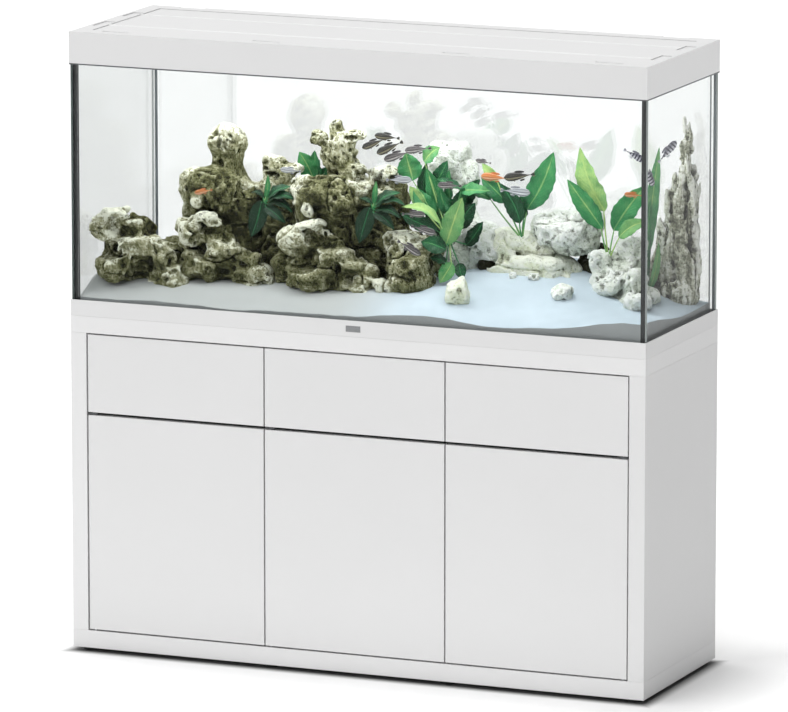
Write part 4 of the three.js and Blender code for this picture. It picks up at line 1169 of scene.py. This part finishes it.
BROAD_LEAVES = [
    ((62, -25, 1196), (46, -30, 1264), 60, 0.5, (0.3, -0.93, 0.1), 0.05),
    ((81, 0, 1240), (120, 5, 1278), 42, 0.62, (-0.1, -0.9, 0.4), 0.12),
    ((84, 0, 1140), (88, 0, 1238), 32, 0.06, FRONTWARD, 0.03),
    ((138, -10, 1115), (92, -10, 1226), 44, 0.42, (0.1, -1, 0.1), 0.03),
    ((185, -5, 1180), (122, -15, 1204), 26, 0.22, UPWARD, 0.12),
    ((176, 0, 1176), (254, 0, 1182), 38, 0.5, (0.0, -0.7, 0.7), 0.14),
    ((93, -30, 1128), (58, -35, 1184), 32, 0.88, FRONTWARD, 0.05),
    ((123, -25, 1118), (66, -30, 1180), 44, 0.44, FRONTWARD, 0.05),
    ((151, -60, 1100), (55, -75, 1144), 28, 0.85, UPWARD, 0.22),
    ((139, -50, 1082), (46, -65, 1122), 38, 0.1, (0.2, -0.9, 0.35), 0.1),
    ((160, -50, 1048), (200, -45, 1166), 54, 0.7, (0.2, -0.98, 0.0), 0.05),
    ((182, -20, 1086), (222, -15, 1150), 46, 0.04, FRONTWARD, 0.06),
    ((168, -65, 1040), (106, -78, 1058), 44, 0.16, (0.2, -0.8, 0.5), 0.14),
    ((180, -60, 1008), (157, -82, 960), 38, 0.62, (0.2, -0.97, 0.2), 0.08),
    ((166, -58, 1006), (130, -75, 1020), 32, 0.04, UPWARD, 0.15),
    ((153, -15, 1118), (132, -20, 1180), 32, 0.28, FRONTWARD, 0.04),
    ((165, -5, 1120), (190, -5, 1184), 34, 0.2, FRONTWARD, 0.05),
    ((176, -8, 1100), (140, -14, 1160), 40, 0.34, FRONTWARD, 0.05),
    ((150, -6, 1150), (150, -8, 1226), 30, 0.36, (-0.3, -0.9, 0.1), 0.04),
    ((190, -40, 1004), (206, -55, 968), 30, 0.1, FRONTWARD, 0.1),
    ((108, 12, 1130), (70, 14, 1206), 46, 0.0, FRONTWARD, 0.05),
    ((146, 14, 1090), (182, 16, 1176), 52, -0.06, FRONTWARD, 0.05),
    ((120, 10, 1080), (84, 12, 1148), 44, 0.04, (0.2, -0.9, 0.3), 0.08),
    ((176, 12, 1130), (222, 14, 1204), 40, 0.06, FRONTWARD, 0.05),
    ((150, 6, 1050), (112, 4, 1102), 42, -0.05, FRONTWARD, 0.06),
    ((190, 6, 1040), (234, 4, 1102), 38, 0.02, (-0.2, -0.9, 0.2), 0.08),
    ((100, 8, 1180), (140, 6, 1246), 36, 0.2, (0.1, -0.9, 0.3), 0.08),
]


def add_plants():
    anubias("dark_leaved_plant_left", "plant_left", (-310, -72, 1126), 51)
    anubias("dark_leaved_plant_middle", "plant_middle", (-22, -74, 1130), 52)
    add_plant(
        "leaf_pair", None, (-222, 35, 1150),
        [
            ((-226, 34, 1172), (-258, 20, 1240), 48, 0.45, FRONTWARD, 0.08),
            ((-214, 36, 1180), (-222, 30, 1244), 36, 0.3, (-0.2, -0.95, 0.1), 0.06),
            ((-208, 38, 1175), (-190, 35, 1204), 28, 0.15, FRONTWARD, 0.1),
        ],
        53,
    )
    add_plant("broad_leaved_plant", "plant_broad_leaved", (162, -30, 1060), BROAD_LEAVES, 54)
    add_plant(
        "long_stemmed_plant", "plant_long_stemmed", (320, 50, 1055),
        [
            ((334, 40, 1132), (404, 40, 1278), 62, 0.4, (0.1, -0.98, 0.15), 0.04),
            ((286, 35, 1148), (222, 25, 1208), 44, 0.34, (0.3, -0.85, 0.4), 0.1),
            ((322, 30, 1100), (276, 15, 1196), 44, 0.1, (0.2, -0.98, 0.1), 0.04),
            ((262, 30, 1200), (226, 20, 1242), 24, 0.85, FRONTWARD, 0.1),
            ((250, 20, 1156), (168, 10, 1178), 36, 0.4, UPWARD, 0.16),
            ((326, 44, 1110), (322, 36, 1170), 30, 0.2, (-0.2, -0.95, 0.1), 0.05),
        ],
        55, 0.002,
    )
    add_plant(
        "tall_leaved_plant", "plant_right", (545, 50, 1020),
        [
            ((534, 50, 1140), (472, 40, 1294), 62, 0.86, (-0.1, -0.98, 0.15), 0.04),
            ((532, 40, 1098), (446, 25, 1216), 48, 0.46, (0.0, -0.98, 0.2), 0.04),
            ((558, 45, 1096), (640, 45, 1210), 58, 0.46, (0.2, -0.95, 0.2), 0.06),
            ((576, 35, 1082), (652, 30, 1128), 38, 0.7, (0.2, -0.9, 0.4), 0.1),
        ],
        56, 0.002,
    )
    add_plant(
        "narrow_leaved_plant", None, (618, 114, 920),
        [
            ((612, 112, 1000), (644, 130, 1292), 34, 0.5, (0.5, -0.85, 0.0), 0.02),
            ((620, 112, 940), (628, 118, 1180), 18, 0.3, (0.3, -0.95, 0.0), 0.04),
            ((626, 116, 940), (648, 120, 1060), 18, 0.62, (0.5, -0.8, 0.0), 0.06),
        ],
        57,
    )


# ---- Fish ----

FISH_ROWS, FISH_SIDES = 12, 10
FISH_SIZE = 1.15
# A forked tail, and back and belly fins: outlines in the middle plane of a fish of length 1.
FINS = [
    [(-0.47, 0.02), (-0.68, 0.13), (-0.62, 0.0), (-0.68, -0.13), (-0.47, -0.02)],
    [(0.2, 0.13), (0.08, 0.23), (-0.28, 0.2), (-0.34, 0.07)],
    [(-0.02, -0.13), (-0.1, -0.22), (-0.26, -0.17), (-0.32, -0.07)],
    [(0.2, -0.12), (0.12, -0.22), (0.08, -0.13)],
]


def fish_outline(t):
    """Half height of the body along its length, as a share of the length."""
    return 0.155 * math.sin(math.pi * min(1.0, t * 1.12) ** 0.62) ** 0.9 + 0.018


def fish_mesh(length):
    """A fish along +X: a lens-shaped body, a tail and fins. UV X runs along it from its nose, and Y up it."""
    vertices, uvs = [], []
    for row in range(FISH_ROWS + 1):
        t = row / FISH_ROWS
        high = fish_outline(t) * length
        for k in range(FISH_SIDES):
            turn = math.tau * k / FISH_SIDES
            spot = ((0.5 - t) * length, 0.42 * high * math.cos(turn), high * math.sin(turn))
            vertices.append(spot)
            uvs.append((t, 0.5 + math.sin(turn) / 2))
    faces = tube_faces(FISH_ROWS, FISH_SIDES)
    for fin in FINS:
        start = len(vertices)
        for y in (-0.006, 0.006):
            vertices.extend((x * length, y * length, z * length) for x, z in fin)
            uvs.extend((0.97, 0.5 + z * 2) for x, z in fin)
        count = len(fin)
        faces.append(tuple(start + k for k in range(count)))
        faces.append(tuple(start + count + k for k in range(count - 1, -1, -1)))
        for k in range(count):
            n = (k + 1) % count
            faces.append((start + n, start + k, start + count + k, start + count + n))
    return vertices, faces, uvs


FISH_SKINS = {
    "dark": fish_scales("dark_fish", (0.035, 0.035, 0.03), (0.22, 0.2, 0.12), (0.02, 0.02, 0.02)),
    "grey": fish_scales("grey_fish", (0.12, 0.11, 0.11), (0.42, 0.4, 0.38), (0.05, 0.045, 0.05)),
    "pale": fish_scales("pale_fish", (0.4, 0.42, 0.44), (0.72, 0.74, 0.76), (0.2, 0.21, 0.23)),
    "orange": fish_scales("orange_fish", (0.55, 0.2, 0.06), (0.7, 0.42, 0.25), (0.45, 0.14, 0.04)),
    "barred": fish_scales("barred_fish", (0.2, 0.2, 0.24), (0.6, 0.6, 0.65), (0.03, 0.03, 0.05), 7.0),
}
# Each fish is its middle and its length in mm, its heading and its climb in degrees, and its skin.
FISH = [
    ((5, -60, 1306), 48, 190, 5, "dark"),
    ((-25, -70, 1288), 48, 200, -22, "dark"),
    ((12, -60, 1278), 54, 198, -25, "dark"),
    ((28, -50, 1258), 54, 195, -18, "grey"),
    ((80, -45, 1277), 52, 185, -8, "grey"),
    ((55, -85, 1207), 48, 12, 2, "pale"),
    ((-250, -60, 1207), 40, 190, 4, "pale"),
    ((170, -62, 1197), 46, 185, 0, "grey"),
    ((108, -120, 1132), 44, 8, 2, "grey"),
    ((138, -130, 1096), 48, 10, -14, "grey"),
    ((100, -130, 1048), 50, 12, -30, "grey"),
    ((330, -10, 1222), 58, 195, -8, "dark"),
    ((268, -12, 1216), 54, 188, 3, "orange"),
    ((338, -30, 1188), 56, 12, -4, "pale"),
    ((690, 70, 1296), 52, 40, 48, "barred"),
    ((648, -40, 1296), 46, 30, -30, "barred"),
    ((652, 40, 1235), 50, 60, -60, "barred"),
    ((628, -10, 1196), 34, 200, 5, "orange"),
    ((-452, -130, 1152), 34, 200, -10, "orange"),
    ((210, 60, 1240), 30, 190, 10, "grey"),
]


def add_fish():
    for number, (middle, length, heading, climb, skin) in enumerate(FISH, 1):
        vertices, faces, uvs = fish_mesh(length * FISH_SIZE * MM)
        turn = Matrix.Rotation(math.radians(heading), 4, "Z") @ Matrix.Rotation(math.radians(-climb), 4, "Y")
        place = Matrix.Translation(Vector(middle) * MM) @ turn
        vertices = [place @ Vector(v) for v in vertices]
        fish = new_piece(f"fish_{number:02d}", vertices, faces, FISH_SKINS[skin])
        add_uv_map(fish, uvs)
        subdivide(fish)


# ---- Small hard pieces ----

SEAL_FILM = 0.0002
# How wide the sealant is at the rear: at the inner end on the left, at the outer end on the right.
REAR_SEAL_LEFT = 0.003
REAR_SEAL_RIGHT = 0.007
SEAL_SETBACK, SEAL_TRIM = 0.00015, 0.001
LIP_GAP, LIP_HIGH, LIP_DEEP = 0.0002, 0.0034, 0.0018
STRIP_HALF, STRIP_INSET = 0.014, 0.006
STRIP_LOW, STRIP_HIGH = 0.0004, 0.0024


def add_lid_shade_strip():
    """A thin dark strip under the lower edge of the lid's skirt, all the way round: a dark piece that stands
    for the shade line under the lid.
    """
    vertices = []
    for inset, drop in ((LIP_GAP, LIP_GAP), (LIP_GAP, LIP_HIGH), (LIP_DEEP, LIP_HIGH), (LIP_DEEP, LIP_GAP)):
        x, y, z = LID_HIGH.x - inset, LID_HIGH.y - inset, LID_LOW.z - drop
        vertices += [(-x, -y, z), (x, -y, z), (x, y, z), (-x, y, z)]
    faces = []
    for ring in range(4):
        for corner in range(4):
            a, b = 4 * ring + corner, 4 * ring + (corner + 1) % 4
            c, d = (b + 4) % 16, (a + 4) % 16
            faces.append((d, c, b, a))
    new_piece("lid_shade_strip", vertices, faces, MATERIALS["shade_strip_sealant"], "lid", False)


def add_corner_seals():
    """The film of sealant between the ends of the side panes and the panes in front and behind."""
    middle = INSIDE_Y - SEAL_SETBACK
    whole = RIGHT_PANE_HIGH.x - INSIDE_X
    corners = (
        ("front_left", -1, -middle, 0, whole),
        ("front_right", 1, -middle, 0, whole),
        ("rear_left", -1, middle, 0, REAR_SEAL_LEFT),
        ("rear_right", 1, middle, whole - REAR_SEAL_RIGHT, whole),
    )
    for corner, turn, y, start, stop in corners:
        first, last = sorted((turn * (INSIDE_X + start), turn * (INSIDE_X + stop)))
        low = (first, y - SEAL_FILM / 2, FRONT_PANE_LOW.z + SEAL_TRIM)
        high = (last, y + SEAL_FILM / 2, FRONT_PANE_HIGH.z - SEAL_TRIM)
        vertices, faces = box_mesh(low, high)
        name = f"corner_seal_{corner}"
        new_piece(name, vertices, faces, MATERIALS["black_silicone"], smooth=False)


def add_light_strips():
    for name in ("light_bar_front", "light_bar_rear"):
        low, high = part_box(name)
        middle = (low.y + high.y) / 2
        near = (low.x + STRIP_INSET, middle - STRIP_HALF, low.z + STRIP_LOW)
        far = (high.x - STRIP_INSET, middle + STRIP_HALF, low.z + STRIP_HIGH)
        vertices, faces = box_mesh(near, far)
        strip_name = name + "_diffuser"
        finish = light_diffuser(strip_name)
        strip = new_piece(strip_name, vertices, faces, finish, "lid", False)
        round_edges(strip, 0.0008, 3)


# ---- Floor, lights and camera ----

FLOOR_HALF = 60.0
CAMERA_PLACE = (7.0864, -16.8574, 4.2515)
CAMERA_DIRECTION = (-0.38052, 0.90548, -0.18790)
CAMERA_LENS = 347.4
KEY_DIRECTION = (-0.12, -0.36, 0.92)
TANK_LIGHT_SIZE, TANK_LIGHT_DROP = (1.36, 0.12), 0.012
FILL_WIDTH, FILL_HEIGHT = 0.1, 0.06


def facing(direction, axis="Z"):
    """The rotation that turns that axis of an object along direction."""
    return Vector(direction).to_track_quat(axis, "Y").to_euler()


def add_floor():
    """A pale table with a contact shadow painted round the object's footprint, which glows more away from the
    object: painted light that hides the cast shadow.
    """
    a = FLOOR_HALF
    mesh = bpy.data.meshes.new("floor")
    mesh.from_pydata([(-a, -a, 0), (a, -a, 0), (a, a, 0), (-a, a, 0)], [], [(0, 1, 2, 3)])
    m = Nodes("floor_white")
    beside = m.math("SUBTRACT", m.math("ABSOLUTE", m.axis(m.place, "X")), LID_HIGH.x)
    before = m.math("SUBTRACT", m.math("ABSOLUTE", m.axis(m.place, "Y")), LID_HIGH.y)
    away = m.math("MAXIMUM", beside, before)
    plain = m.mix(m.noise(0.8, 2.0), (0.93, 0.93, 0.93), (0.95, 0.95, 0.95))
    # Painted contact shadow: dark grey within a few centimetres of the footprint.
    colour = m.mix(m.ramp(away, -0.005, 0.034), (0.2, 0.2, 0.2), plain)
    # Painted light: the floor glows more the further it lies from the object.
    glow = {"Emission_Color": (1.0, 1.0, 1.0, 1.0), "Emission_Strength": m.ramp(away, 0.0, 0.3, 0.0, 0.18)}
    mesh.materials.append(m.finished(colour, 0.7, Specular_IOR_Level=0.1, **glow))
    placed("floor", mesh)


def add_world():
    """An even studio, brighter from above and from the left."""
    world = bpy.data.worlds.new("studio")
    world.use_nodes = True
    sky = Tree(world.node_tree)
    inputs = {0: sky.node("ShaderNodeTexCoord", "Generated"), 1: (-1.05, 0.05, 1.04)}
    slope = sky.node("ShaderNodeVectorMath", "Value", inputs, operation="DOT_PRODUCT")
    background = sky.tree.nodes["Background"]
    background.inputs["Color"].default_value = (1.0, 1.0, 1.0, 1.0)
    sky.feed(background.inputs["Strength"], sky.math("MAXIMUM", sky.math("ADD", slope, 0.2), 0.04))
    bpy.context.scene.world = world


def add_area_light(name, place, length, width, energy):
    light = bpy.data.lights.new(name, "AREA")
    light.shape = "RECTANGLE"
    light.size = length
    light.size_y = width
    light.energy = energy
    lamp = placed(name, light)
    lamp.location = place
    return lamp


def add_lights():
    key = bpy.data.lights.new("overhead_key", "SUN")
    key.energy = 0.6
    key.angle = math.radians(35)
    placed("overhead_key", key).rotation_euler = facing(KEY_DIRECTION)
    for end, y, energy in (("front", -0.12, 3.7), ("rear", 0.09, 1.6)):
        add_area_light(f"tank_light_{end}", (0, y, LID_LOW.z - TANK_LIGHT_DROP), *TANK_LIGHT_SIZE, energy)


def add_low_fill():
    """Weak strips just above the floor, in front and at the right, that stand in for a wide white sweep."""
    for end, x, y, length, energy in (("front", 0.0, -0.6, 1.7, 0.24), ("right", 1.1, 0.0, 0.6, 0.09)):
        lamp = add_area_light(f"low_fill_{end}", (x, y, FILL_HEIGHT), length, FILL_WIDTH, energy)
        lamp.rotation_euler = facing((x, y, -0.1))
        lamp.visible_camera = False
        lamp.visible_glossy = False


def add_camera():
    camera = bpy.data.cameras.new("camera")
    camera.sensor_width = 36.0
    camera.lens = CAMERA_LENS
    camera.clip_end = 200.0
    eye = placed("camera", camera)
    eye.location = CAMERA_PLACE
    eye.rotation_euler = facing(CAMERA_DIRECTION, "-Z")
    bpy.context.scene.camera = eye


def main():
    bpy.context.scene.view_settings.view_transform = "Standard"
    add_camera()
    add_floor()
    add_world()
    add_lights()
    add_low_fill()
    dress_frame()
    add_corner_seals()
    add_lid_shade_strip()
    add_light_strips()
    add_sand()
    add_stones()
    add_plants()
    add_fish()


main()
